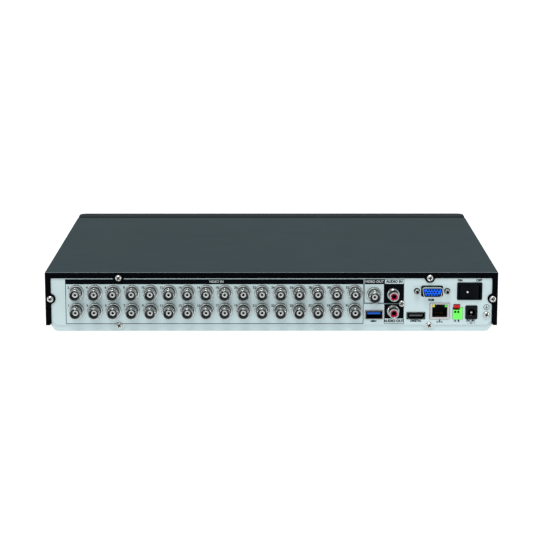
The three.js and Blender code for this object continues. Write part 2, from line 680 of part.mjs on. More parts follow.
function bncPin(x, z, rear) {
  const tip = -BNC_REACH + BNC_INSULATOR_SETBACK;
  return cut(
    rod(BNC_INSULATOR_RADIUS, tip, rear, x, z, PIN_SIDES),
    rod(BNC_CONTACT_RADIUS, tip - 1, tip + BNC_CONTACT_DEPTH, x, z, PIN_SIDES),
  );
}

const BANK_PORTS = Array.from({ length: BNC_BANK_COLUMNS }, (_, column) =>
  [0, 1].map((row) => [column * BNC_PITCH_X, row * BNC_PITCH_Z]),
).flat();

// A bank of sockets in one die-cast block; its first lower socket is at x = 0, z = 0.
function bncBank() {
  const y0 = SHEET + SEAT_GAP;
  const half = Math.min(BNC_BLOCK_MARGIN, BNC_PITCH_X / 2 - SEAT_GAP);
  const body = block(
    -half,
    (BNC_BANK_COLUMNS - 1) * BNC_PITCH_X + half,
    y0,
    BNC_BLOCK_DEPTH,
    PORT_Z - BNC_LOW_Z,
    BNC_PITCH_Z + BNC_BLOCK_MARGIN,
  );
  const fronts = BANK_PORTS.map(([x, z]) => bncFront(x, z));
  const bores = BANK_PORTS.map(([x, z]) => bncBore(x, z, BNC_BLOCK_DEPTH));
  return cut(joined(body, ...fronts), ...bores);
}

// The bank's moulded insulators, joined by a comb behind the block.
function bncInsulators() {
  const comb0 = BNC_BLOCK_DEPTH + SEAT_GAP;
  const comb1 = comb0 + INSULATOR_COMB_THICKNESS;
  const margin = BNC_INSULATOR_RADIUS + 1;
  const comb = block(
    -margin,
    (BNC_BANK_COLUMNS - 1) * BNC_PITCH_X + margin,
    comb0,
    comb1,
    -margin,
    BNC_PITCH_Z + margin,
  );
  return joined(comb, ...BANK_PORTS.map(([x, z]) => bncPin(x, z, comb1)));
}

// The single output socket stands on a leg behind the USB socket.
function videoOutShell() {
  const half = BNC_BLOCK_MARGIN;
  const legDepth = USB.depth + SEAT_GAP;
  const body = block(-half, half, SHEET + SEAT_GAP, BNC_BLOCK_DEPTH, -half, half);
  const leg = block(-half, half, legDepth, BNC_BLOCK_DEPTH, PORT_Z - VIDEO_OUT_Z, 0);
  return cut(joined(body, leg, bncFront(0, 0)), bncBore(0, 0, BNC_BLOCK_DEPTH));
}

const videoOutInsulator = () => bncPin(0, 0, BNC_BLOCK_DEPTH);

// ---------------------------------------------------------------- phono jacks

function audioHousing() {
  const y0 = SHEET + SEAT_GAP;
  const half = PHONO_BLOCK_WIDTH / 2;
  const top = AUDIO_PITCH_Z + half;
  const right = PHONO_SCREW_STEP + SCREW_HOLE_RADIUS + PHONO_EAR;
  const body = block(-half, right, y0, y0 + PHONO_BLOCK_DEPTH, PORT_Z - AUDIO_LOW_Z, top);
  const sockets = [0, AUDIO_PITCH_Z].map((z) =>
    rod(PHONO_FLANGE_RADIUS + FIT_GAP, 0, y0 + PHONO_BLOCK_DEPTH / 2, 0, z),
  );
  const screwZ = AUDIO_SCREW_Z - AUDIO_LOW_Z;
  const hole = rod(SCREW_HOLE_RADIUS, 0, y0 + SCREW_LENGTH + 1, PHONO_SCREW_STEP, screwZ, EYELET);
  return cut(body, ...sockets, hole);
}

function phonoCollar() {
  const rear = SHEET + SEAT_GAP + PHONO_BLOCK_DEPTH / 2 - SEAT_GAP;
  const shape = joined(
    rod(PHONO_FLANGE_RADIUS, -PHONO_FLANGE_REACH, rear),
    rod(PHONO_COLLAR_RADIUS, -PHONO_REACH, 0),
  );
  return cut(shape, rod(PHONO_INNER_RADIUS + FIT_GAP / 2, -PHONO_REACH - 1, rear - 1));
}

function phonoInsert() {
  const rear = SHEET + SEAT_GAP + PHONO_BLOCK_DEPTH / 2 - SEAT_GAP - 1 - SEAT_GAP;
  return cut(
    rod(PHONO_INNER_RADIUS, -PHONO_REACH + 0.4, rear),
    rod(PHONO_HOLE_RADIUS, -PHONO_REACH - 1, -PHONO_REACH + PHONO_BORE_DEPTH, 0, 0, EYELET),
  );
}

// ---------------------------------------------------------------- box-shaped sockets

// A folded metal shell around a socket, open at the front, with y = 0 at the rear plate.
function socketShell(socket) {
  const inner = [socket.width - 2 * socket.wall, socket.height - 2 * socket.wall];
  return cut(
    bar(socket.width, socket.height, -socket.reach, socket.depth),
    bar(...inner, -socket.reach - 1, socket.depth - socket.wall),
  );
}

// The contact tongue and the moulding that carries it at the shell's closed end.
function socketTongue(socket, tongue, lift = 0) {
  const rear = socket.depth - socket.wall - SEAT_GAP;
  const width = socket.width - 2 * socket.wall - 2 * SEAT_GAP;
  const height = socket.height - 2 * socket.wall - 2 * SEAT_GAP;
  return joined(
    bar(width, height, rear - SOCKET_BACK, rear),
    bar(tongue.width, tongue.height, tongue.setback, rear, 0, lift),
  );
}

const digitalOutline = (inset) => {
  const x = DIGITAL.width / 2 - inset;
  const z = DIGITAL.height / 2 - inset;
  const chamfer = DIGITAL.chamfer;
  return mirrored([
    [x - chamfer, -z],
    [x, -z + chamfer],
    [x, z],
  ]);
};

function digitalShell() {
  return cut(
    plate(digitalOutline(0), -DIGITAL.reach, DIGITAL.depth),
    plate(digitalOutline(DIGITAL.wall), -DIGITAL.reach - 1, DIGITAL.depth - DIGITAL.wall),
  );
}

function digitalTongue() {
  const rear = DIGITAL.depth - DIGITAL.wall - SEAT_GAP;
  return joined(
    plate(digitalOutline(DIGITAL.wall + SEAT_GAP), rear - SOCKET_BACK, rear),
    bar(DIGITAL_TONGUE.width, DIGITAL_TONGUE.height, DIGITAL_TONGUE.setback, rear),
  );
}

// The network socket's moulding: the plug's cavity, with the latch's notch above it.
function lanInsert() {
  const gap = LAN.wall + SEAT_GAP;
  const rear = LAN.depth - LAN.wall - SEAT_GAP;
  const floor = -LAN.height / 2 + gap + LAN_CAVITY.floor;
  const y0 = -LAN.reach - 1;
  const cavityTop = floor + LAN_CAVITY.height;
  const half = LAN_CAVITY.width / 2;
  const latch = LAN_LATCH.width / 2;
  return cut(
    bar(LAN.width - 2 * gap, LAN.height - 2 * gap, -LAN.reach, rear),
    block(-half, half, y0, LAN_CAVITY.depth, floor, cavityTop),
    block(-latch, latch, y0, LAN_CAVITY.depth, cavityTop - 1, cavityTop + LAN_LATCH.height),
  );
}

// ---------------------------------------------------------------- monitor socket

const VGA_REAR = DIGITAL.depth + FIT_GAP + VGA_LEG.depth;

const vgaOutline = (inset) => {
  const top = VGA.topWidth / 2 - inset;
  const z = VGA.height / 2 - inset;
  const corner = 1.4;
  return mirrored([
    [top - VGA.lean - corner, -z],
    [top - VGA.lean, -z + corner],
    [top, z - corner],
    [top - corner, z],
  ]);
};

function vgaShell() {
  const y0 = SHEET + SEAT_GAP;
  const y1 = y0 + VGA_FLANGE.thickness;
  const inner = VGA.wall;
  return cut(
    joined(
      plate(vgaOutline(0), -VGA.reach, y1),
      bar(VGA_FLANGE.width, VGA_FLANGE.height, y0, y1),
    ),
    plate(vgaOutline(inner), -VGA.reach - 1, y1 + 1),
    ...[-1, 1].map((side) =>
      rod(JACKSCREW_BORE + FIT_GAP, 0, y1 + 1, (side * JACKSCREW_SPACING) / 2, 0, EYELET),
    ),
  );
}

function vgaInsulator() {
  const y0 = SHEET + SEAT_GAP + VGA_FLANGE.thickness + SEAT_GAP;
  const y1 = VGA_REAR;
  const legX = -VGA_LEG.inset - VGA_LEG.width / 2;
  return cut(
    joined(
      plate(vgaOutline(VGA.wall + SEAT_GAP), -VGA.reach + 0.6, y0 + 1),
      bar(VGA_BLOCK.width, VGA_BLOCK.height, y0, y1),
      block(legX, legX + VGA_LEG.width, y1 - VGA_LEG.depth, y1, PORT_Z - VGA_Z, 0),
    ),
    ...[-1, 1].map((side) =>
      rod(JACKSCREW_BORE + FIT_GAP, 0, y1 + 1, (side * JACKSCREW_SPACING) / 2, 0, EYELET),
    ),
  );
}

// Hexagonal jackscrew: its head stands on the flange, its thread passes into the block.
function jackscrew() {
  const seat = SHEET;
  return cut(
    joined(
      rod(JACKSCREW_RADIUS, -JACKSCREW_REACH, seat, 0, 0, PIN_SIDES),
      rod(JACKSCREW_BORE, 0, VGA_REAR, 0, 0, EYELET),
    ),
    rod(JACKSCREW_BORE, -JACKSCREW_REACH - 1, -1, 0, 0, PIN_SIDES),
  );
}

// ---------------------------------------------------------------- terminal block and inlet

const POLE_X = [0, 1].map(
  (n) => -TERMINAL.width / 2 + TERMINAL_FIRST_POLE + n * TERMINAL_PITCH,
);

function terminalBlock() {
  const top = TERMINAL.height / 2;
  const left = -TERMINAL.width / 2;
  const notch = block(
    left - 1,
    POLE_X[1] + LEVER.width / 2 + LEVER.clearance,
    -TERMINAL.reach - 1,
    TERMINAL_NOTCH.depth,
    top - TERMINAL_NOTCH.height,
    top + 1,
  );
  const holes = POLE_X.map((x) =>
    rod(TERMINAL_HOLE_RADIUS, -TERMINAL.reach - 1, 5, x, top - TERMINAL_HOLE_DROP, EYELET),
  );
  return cut(bar(TERMINAL.width, TERMINAL.height, -TERMINAL.reach, TERMINAL.depth), notch, ...holes);
}

// A release lever, on its pivot at y = 0, z = 0 at its rear lower end.
function terminalLever() {
  const length = TERMINAL_NOTCH.depth + TERMINAL.reach + LEVER.reach - 2 * LEVER.clearance;
  const height = LEVER.height;
  const half = LEVER.width / 2;
  const side = [
    [-0.4, 0],
    [0, 0.4],
    [0, height * 0.55],
    [-length + 1.2, height],
    [-length, height - 0.6],
    [-length, LEVER_FOOT_CUT],
  ];
  const shape = new THREE.Shape(side.map(([y, z]) => new THREE.Vector2(y, z)));
  const geometry = new THREE.ExtrudeGeometry(shape, { depth: LEVER.width, bevelEnabled: false });
  // the outline's (y, z) lies in the extrusion's (x, y), and its depth goes along X
  const turn = new THREE.Matrix4().set(0, 0, 1, -half, 1, 0, 0, 0, 0, 1, 0, 0, 0, 0, 0, 1);
  return solid(geometry.applyMatrix4(turn));
}

const LEVER_PIVOT_Y = PANEL_Y + TERMINAL_NOTCH.depth - LEVER.clearance;
const LEVER_PIVOT_Z = TERMINAL_Z + TERMINAL.height / 2 - TERMINAL_NOTCH.height + LEVER.clearance;

const dcOutline = () => {
  const x = DC.width / 2;
  const z = DC.height / 2;
  const c = DC.corner;
  return mirrored([
    [x - c, -z],
    [x, -z + c],
    [x, z - c],
    [x - c, z],
  ]);
};

function dcHousing() {
  return cut(
    plate(dcOutline(), -DC.reach, DC.depth),
    rod(DC_BORE_RADIUS, -DC.reach - 1, DC_BORE_DEPTH, 0, 0),
    rod(DC_PIN_RADIUS + FIT_GAP, 0, DC.depth + 1, 0, 0, EYELET),
  );
}

const dcPin = () => rod(DC_PIN_RADIUS, -DC.reach + DC_PIN_SETBACK, DC.depth, 0, 0, EYELET);

// ---------------------------------------------------------------- rocker switch

function switchHousing() {
  const well = [2 * (ROCKER_RADIUS + FIT_GAP), ROCKER_HEIGHT + 2 * FIT_GAP];
  return cut(
    joined(
      bar(SWITCH.width, SWITCH.height, -SWITCH.lip, -SEAT_GAP),
      bar(SWITCH.bodyWidth, SWITCH.bodyHeight, -SWITCH.lip, SWITCH.depth),
    ),
    bar(...well, -SWITCH.lip - 1, ROCKER_PIVOT_DEPTH + ROCKER_WELL_DEPTH),
  );
}

// The rocker about its pivot, in its middle position.
function rocker() {
  const tipX = ROCKER_RADIUS * Math.cos(0.5);
  const tipY = -ROCKER_RADIUS * Math.sin(0.5);
  const middleY = tipY + tipX * Math.tan(ROCKER_TILT);
  const half = [
    [ROCKER_RADIUS * 0.24, ROCKER_RADIUS * 0.48],
    [ROCKER_RADIUS * 0.88, ROCKER_RADIUS * 0.3],
    [ROCKER_RADIUS * 0.965, -ROCKER_RADIUS * 0.12],
    [tipX, tipY],
  ];
  const outline = [...half.map(([x, y]) => [-x, y]).reverse(), ...half];
  outline.splice(0, 0, [0, middleY]);
  return slab(outline, -ROCKER_HEIGHT / 2, ROCKER_HEIGHT / 2);
}

// ---------------------------------------------------------------- inside the case

function drive() {
  const x = DRIVE.width / 2;
  const y = DRIVE.depth / 2;
  const corner = 2.5;
  const outline = [
    ...arc(x - corner, y - corner, corner, 0, 2),
    ...arc(-x + corner, y - corner, corner, Math.PI / 2, 2),
    ...arc(-x + corner, -y + corner, corner, Math.PI, 2),
    ...arc(x - corner, -y + corner, corner, 1.5 * Math.PI, 2),
  ];
  const half = DRIVE_PLUG.width / 2 + FIT_GAP;
  const plugX = -x + DRIVE_PLUG_STEP;
  const plugDepth = DRIVE_PLUG.depth / 2 + 1;
  const plugTop = DRIVE_PLUG.height + 1;
  const connector = block(plugX - half, plugX + half, -y - 1, -y + plugDepth, -1, plugTop);
  const step = block(-x - 1, x + 1, y - 24, y + 1, DRIVE.height - 5, DRIVE.height + 1);
  return cut(slab(outline, 0, DRIVE.height), connector, step);
}

function fanFrame() {
  const half = FAN.thickness / 2;
  const axial = (radius, y0, y1, sides) => rod(radius, y0, y1, 0, 0, sides);
  const hole = FAN.size / 2 - 4;
  const corners = [-1, 1].flatMap((sx) => [-1, 1].map((sz) => [sx * hole, sz * hole]));
  const ring = cut(
    bar(FAN.size, FAN.size, -half, half),
    axial(FAN.hole, -half - 1, half + 1, 20),
    ...corners.map(([x, z]) => rod(SCREW_HOLE_RADIUS, -half - 1, half + 1, x, z, PIN_SIDES)),
  );
  const struts = [0, 1].map((n) => {
    const size = n ? [FAN.strutWidth, FAN.size - 2] : [FAN.size - 2, FAN.strutWidth];
    return bar(...size, -half, -half + FAN.strutThickness);
  });
  return joined(ring, axial(FAN_MOTOR_RADIUS, -half, -half + FAN.strutThickness, ROUND), ...struts);
}

// Hub and blades, spinning about the fan's axis.
function fanRotor() {
  const front = FAN.thickness / 2 - 0.8;
  const rear = -FAN.thickness / 2 + FAN.strutThickness + FIT_GAP;
  const span = front - rear;
  const reach = FAN_ROTOR_RADIUS - FAN_HUB_RADIUS + 1;
  const blades = Array.from({ length: FAN_BLADES }, (_, n) => {
    const blade = new THREE.BoxGeometry(reach, 1.0, (span * 0.86) / Math.cos(FAN_BLADE_TWIST));
    blade.rotateX(Math.PI / 2 + FAN_BLADE_TWIST);
    blade.translate(FAN_HUB_RADIUS - 1 + reach / 2, (front + rear) / 2, 0);
    return solid(blade.rotateY((n * 2 * Math.PI) / FAN_BLADES));
  });
  const swept = rod(FAN_ROTOR_RADIUS, rear, front, 0, 0, 20);
  return joined(rod(FAN_HUB_RADIUS, rear, front), ...blades).intersect(swept);
}

function heatsink() {
  const pitch = (HEATSINK.width - HEATSINK.fin) / (HEATSINK.fins - 1);
  const fins = Array.from({ length: HEATSINK.fins }, (_, n) => {
    const x = -HEATSINK.width / 2 + n * pitch;
    return block(x, x + HEATSINK.fin, -HEATSINK.depth / 2, HEATSINK.depth / 2, 1, HEATSINK.height);
  });
  const [w, d] = [HEATSINK.width / 2, HEATSINK.depth / 2];
  return joined(block(-w, w, -d, d, 0, HEATSINK.base), ...fins);
}

function mainBoard() {
  const holes = [-1, 0, 1].flatMap((column) =>
    [0.12, 0.9].map((row) =>
      post(
        SCREW_HOLE_RADIUS,
        BOARD_BOTTOM_Z - 1,
        BOARD_Z + 1,
        column * (BOARD_HALF - 8),
        BOARD_REAR_Y + row * BOARD_DEPTH,
        EYELET,
      ),
    ),
  );
  const [rear, front] = [BOARD_REAR_Y, BOARD_REAR_Y + BOARD_DEPTH];
  return cut(block(-BOARD_HALF, BOARD_HALF, rear, front, BOARD_BOTTOM_Z, BOARD_Z), ...holes);
}

// A flat lead at x, along a smooth curve through its [y, z] points.
function lead(flat, x, points) {
  const path = new THREE.CatmullRomCurve3(points.map(([y, z]) => new THREE.Vector3(x, y, z)));
  const [w, t] = [flat.width / 2, flat.thickness / 2];
  const corners = [[-w, -t], [w, -t], [w, t], [-w, t]];
  const section = new THREE.Shape(corners.map(([u, v]) => new THREE.Vector2(u, v)));
  return solid(new THREE.ExtrudeGeometry(section, { steps: flat.steps, extrudePath: path }));
}

const LEAD_Y = BOARD_REAR_Y + BOARD_DEPTH - 3 * PLUG.depth; // plugs on the main board

// The moulded end that stands on the main board, behind its front edge.
function boardPlug(width, x) {
  const [y0, y1] = [LEAD_Y - PLUG.depth / 2, LEAD_Y + PLUG.depth / 2];
  return block(x - width / 2, x + width / 2, y0, y1, PORT_Z, PORT_Z + PLUG.height);
}

// From the board up, over its front edge and down to the plug in the drive's rear end.
function driveLead(driveX) {
  const x = driveX - DRIVE.width / 2 + DRIVE_PLUG_STEP;
  const driveRear = DRIVE_Y - DRIVE.depth / 2;
  const edge = BOARD_REAR_Y + BOARD_DEPTH;
  const middle = (edge + driveRear) / 2;
  const z = DRIVE_Z + DRIVE_PLUG.height / 2 + SEAT_GAP;
  const [y0, y1] = [driveRear - DRIVE_PLUG.depth / 2, driveRear + DRIVE_PLUG.depth / 2];
  const run = lead(LEAD, x, [
    [LEAD_Y, PORT_Z + PLUG.height / 2],
    [LEAD_Y + 1, BOARD_Z + LEAD_ARCH - 1],
    [edge - 5, BOARD_Z + LEAD_ARCH + 2],
    [middle - 2, BOARD_Z + LEAD_ARCH / 2],
    [middle + 1, z + 1],
    [driveRear, z],
  ]);
  return joined(boardPlug(PLUG.width, x), run, bar(DRIVE_PLUG.width, DRIVE_PLUG.height, y0, y1, x, z));
}

// From the board down past its front edge, along the floor and up to the indicator board.
function frontRibbon() {
  const edge = BOARD_REAR_Y + BOARD_DEPTH;
  const floor = FLOOR_Z + 2 * RIBBON.thickness;
  const wall = TRAY_FRONT_Y - SHEET;
  const end = INDICATOR_BOARD_Y - SEAT_GAP;
  const run = lead(RIBBON, RIBBON_X, [
    [LEAD_Y, PORT_Z + PLUG.height / 2],
    [LEAD_Y + 1, BOARD_Z + LEAD_ARCH - 1],
    [edge - 3, BOARD_Z + LEAD_ARCH],
    [edge + 6, BOARD_Z],
    [edge + 16, floor + 1],
    [edge + 30, floor],
    [wall - 30, floor],
    [wall - 14, floor + 4],
    [wall - 7, WINDOW_Z - 4],
    [wall, WINDOW_Z],
    [end - 2, WINDOW_Z],
  ]);
  const plug = bar(RIBBON.width + 2, PLUG.depth, end - PLUG.depth, end, RIBBON_X, WINDOW_Z);
  return joined(boardPlug(RIBBON.width + 2, RIBBON_X), run, plug);
}

// The front socket's shell with its tongue moulded in, opening towards -Y.
function frontUsb() {
  const rear = USB.depth - USB.wall / 2;
  const height = USB.height - USB.wall;
  const width = USB.width - USB.wall;
  return joined(
    socketShell(USB),
    bar(width, height, rear - SOCKET_BACK, rear),
    bar(USB_TONGUE.width, USB_TONGUE.height, USB_TONGUE.setback, rear, 0, USB_TONGUE.lift),
  );
}

// ---------------------------------------------------------------- assembly

const recorder = new THREE.Group();

function enclosure() {
  const group = new THREE.Group();
  group.add(piece("base_tray", baseTray(), ZINC_PLATE, 0.42, 0.8));
  group.add(piece("rear_panel", rearPanel(), ZINC_PLATE, 0.38, 0.8));
  group.add(piece("top_cover", topCover(), BLACK_PAINT, 0.55, 0.2));
  group.add(piece("front_bezel", frontBezel(), BLACK_PLASTIC, 0.45, 0));
  const pane = bar(WINDOW_LENGTH, WINDOW_HEIGHT, -WINDOW_THICKNESS, 0);
  const paneY = FRONT_Y - SEAT_GAP;
  group.add(piece("indicator_window", pane, SMOKED, 0.1, 0, [WINDOW_X, paneY, WINDOW_Z]));
  const screws = [...COVER_SCREWS, ...PANEL_SCREWS];
  screws.forEach(([name, x, z], n) => {
    const onCover = n < COVER_SCREWS.length;
    const y = (onCover ? COVER_REAR_Y : PANEL_Y) - SEAT_GAP;
    group.add(piece(name, screw(), NICKEL, 0.3, 1, [x, y, z]));
  });
  const rearFootY = PANEL_Y + FOOT_INSET_Y;
  const frontFootY = FRONT_Y - FOOT_INSET_Y;
  for (const [end, y] of [["rear", rearFootY], ["front", frontFootY]]) {
    for (const [side, sign] of [["left", -1], ["right", 1]]) {
      const x = sign * (COVER_HALF - FOOT_INSET_X);
      group.add(piece(`foot_${end}_${side}`, foot(), RUBBER_BLACK, 0.9, 0, [x, y, 0]));
    }
  }
  return group;
}

function rearPorts() {
  const group = new THREE.Group();
  group.position.y = PANEL_Y;
  for (let n = 0; n < BNC_COLUMNS / BNC_BANK_COLUMNS; n += 1) {
    const place = [FIRST_COLUMN_X + n * BNC_BANK_COLUMNS * BNC_PITCH_X, 0, BNC_LOW_Z];
    group.add(piece(`video_in_bank_${n + 1}`, bncBank(), NICKEL, 0.3, 1, place));
    group.add(
      piece(`video_in_insulators_${n + 1}`, bncInsulators(), WHITE_PLASTIC, 0.5, 0, place),
    );
  }
  const videoOut = [VIDEO_OUT_X, 0, VIDEO_OUT_Z];
  group.add(piece("video_out_shell", videoOutShell(), NICKEL, 0.3, 1, videoOut));
  group.add(piece("video_out_insulator", videoOutInsulator(), WHITE_PLASTIC, 0.5, 0, videoOut));
  const audio = [AUDIO_X, 0, AUDIO_LOW_Z];
  group.add(piece("audio_housing", audioHousing(), BLACK_PLASTIC, 0.5, 0, audio));
  for (const [name, lift] of [["out", 0], ["in", AUDIO_PITCH_Z]]) {
    const place = [AUDIO_X, 0, AUDIO_LOW_Z + lift];
    group.add(piece(`audio_${name}_collar`, phonoCollar(), NICKEL, 0.25, 1, place));
    group.add(piece(`audio_${name}_insert`, phonoInsert(), RED_PLASTIC, 0.4, 0, place));
  }
  const usb = [VIDEO_OUT_X, 0, USB_Z];
  group.add(piece("usb_shell", socketShell(USB), NICKEL, 0.3, 1, usb));
  const usbTongue = socketTongue(USB, USB_TONGUE, USB_TONGUE.lift);
  group.add(piece("usb_tongue", usbTongue, USB_BLUE, 0.5, 0, usb));
  const digital = [DIGITAL_X, 0, DIGITAL_Z];
  group.add(piece("digital_video_shell", digitalShell(), NICKEL, 0.3, 1, digital));
  group.add(piece("digital_video_tongue", digitalTongue(), BLACK_PLASTIC, 0.5, 0, digital));
  const vga = [VGA_X, 0, VGA_Z];
  group.add(piece("vga_shell", vgaShell(), NICKEL, 0.3, 1, vga));
  group.add(piece("vga_insulator", vgaInsulator(), VGA_BLUE, 0.5, 0, vga));
  for (const [side, sign] of [["left", -1], ["right", 1]]) {
    const place = [VGA_X + (sign * JACKSCREW_SPACING) / 2, 0, VGA_Z];
    group.add(piece(`vga_jackscrew_${side}`, jackscrew(), NICKEL, 0.3, 1, place));
  }
  const lan = [LAN_X, 0, LAN_Z];
  group.add(piece("lan_shell", socketShell(LAN), NICKEL, 0.35, 1, lan));
  group.add(piece("lan_insert", lanInsert(), BLACK_PLASTIC, 0.5, 0, lan));
  const terminal = [TERMINAL_X, 0, TERMINAL_Z];
  group.add(piece("terminal_block", terminalBlock(), TERMINAL_GREEN, 0.45, 0, terminal));
  for (const [n, name] of ["a", "b"].entries()) {
    const place = [TERMINAL_X + POLE_X[n], LEVER_PIVOT_Y - PANEL_Y, LEVER_PIVOT_Z];
    group.add(piece(`terminal_lever_${name}`, terminalLever(), LEVER_RED, 0.45, 0, place));
  }
  const dc = [DC_X, 0, DC_Z];
  group.add(piece("power_inlet_housing", dcHousing(), BLACK_PLASTIC, 0.5, 0, dc));
  group.add(piece("power_inlet_pin", dcPin(), NICKEL, 0.3, 1, dc));
  return group;
}

function powerSwitch() {
  const group = new THREE.Group();
  group.position.set(SWITCH_X, PANEL_Y, SWITCH_Z);
  group.add(piece("power_switch_housing", switchHousing(), BLACK_PLASTIC, 0.5, 0));
  const pivot = [0, ROCKER_PIVOT_DEPTH, 0];
  const paddle = piece("power_switch_rocker", rocker(), BLACK_PLASTIC, 0.4, 0, pivot);
  paddle.rotation.z = -ROCKER_TILT; // the left half is pressed in
  group.add(paddle);
  return group;
}

function inside() {
  const group = new THREE.Group();
  group.add(piece("main_board", mainBoard(), BOARD_GREEN, 0.6, 0));
  const sinkPlace = [AUDIO_X - 30, LEAD_Y - PLUG.depth - HEATSINK.depth / 2, PORT_Z];
  group.add(piece("heatsink", heatsink(), NICKEL, 0.4, 1, sinkPlace));
  DRIVE_X.forEach((x, n) => {
    group.add(piece(`hard_drive_${n + 1}`, drive(), DRIVE_GREY, 0.4, 0.8, [x, DRIVE_Y, DRIVE_Z]));
    group.add(piece(`drive_lead_${n + 1}`, driveLead(x), LEAD_BLACK, 0.6, 0));
  });
  const frame = piece("fan_frame", fanFrame(), BLACK_PLASTIC, 0.5, 0, [FAN_X, FAN_Y, FAN_Z]);
  frame.rotation.z = Math.PI / 2;
  group.add(frame);
  const rotor = piece("fan_rotor", fanRotor(), BLACK_PLASTIC, 0.5, 0, [FAN_X, FAN_Y, FAN_Z]);
  rotor.rotation.z = Math.PI / 2;
  group.add(rotor);
  const board = bar(WINDOW_LENGTH, WINDOW_HEIGHT, 0, BOARD_THICKNESS);
  const boardPlace = [WINDOW_X, INDICATOR_BOARD_Y, WINDOW_Z];
  group.add(piece("indicator_board", board, BOARD_GREEN, 0.6, 0, boardPlace));
  group.add(piece("front_ribbon", frontRibbon(), LEAD_GREY, 0.6, 0));
  const usbPlace = [FRONT_USB_X, FRONT_Y - USB.reach - SEAT_GAP, WINDOW_Z];
  const socket = piece("front_usb_socket", frontUsb(), NICKEL, 0.3, 1, usbPlace);
  socket.rotation.z = Math.PI;
  group.add(socket);
  return group;
}

recorder.add(enclosure(), rearPorts(), powerSwitch(), inside());

export default recorder;
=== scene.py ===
"""Looks of the video recorder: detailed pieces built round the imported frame, procedural materials,
a pale floor, soft studio lights and the camera. Lengths in the code are in millimetres."""

import math

import bmesh
import bpy
from mathutils import Matrix, Vector
from mathutils.bvhtree import BVHTree


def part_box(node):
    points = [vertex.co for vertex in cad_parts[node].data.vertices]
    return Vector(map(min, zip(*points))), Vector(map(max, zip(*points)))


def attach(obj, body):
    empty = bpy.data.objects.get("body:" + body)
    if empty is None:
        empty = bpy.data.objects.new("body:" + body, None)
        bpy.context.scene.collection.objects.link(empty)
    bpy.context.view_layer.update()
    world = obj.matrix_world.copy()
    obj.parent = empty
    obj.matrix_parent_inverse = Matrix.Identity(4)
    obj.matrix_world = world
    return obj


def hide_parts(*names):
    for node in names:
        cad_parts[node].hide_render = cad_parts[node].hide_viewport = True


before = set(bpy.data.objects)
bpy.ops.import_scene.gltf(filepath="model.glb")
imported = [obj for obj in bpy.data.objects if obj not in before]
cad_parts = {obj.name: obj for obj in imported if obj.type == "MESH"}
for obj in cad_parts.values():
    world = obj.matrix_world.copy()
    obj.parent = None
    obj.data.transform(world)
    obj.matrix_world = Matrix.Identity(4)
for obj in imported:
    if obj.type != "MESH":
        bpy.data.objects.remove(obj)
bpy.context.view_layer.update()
MM = 0.001


# ------------------------------------------------------------------ where the frame's nodes are


class Place:
    """A CAD node's box at rest, in millimetres."""

    def __init__(self, node):
        low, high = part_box(node)
        self.x0, self.y0, self.z0 = (c / MM for c in low)
        self.x1, self.y1, self.z1 = (c / MM for c in high)
        self.x = (self.x0 + self.x1) / 2
        self.y = (self.y0 + self.y1) / 2
        self.z = (self.z0 + self.z1) / 2
        self.w = self.x1 - self.x0
        self.d = self.y1 - self.y0
        self.h = self.z1 - self.z0


COVER = Place("top_cover")
TRAY = Place("base_tray")
PANEL = Place("rear_panel")
PY = PANEL.y0  # outer face of the rear plate
BEHIND = PY + 1.1  # just behind the plate
BOARD = Place("main_board")


# ------------------------------------------------------------------ materials


def linear(rgb):
    """sRGB 0-255 to linear 0-1."""
    out = []
    for c in rgb:
        c = c / 255
        out.append(c / 12.92 if c <= 0.04045 else ((c + 0.055) / 1.055) ** 2.4)
    return out


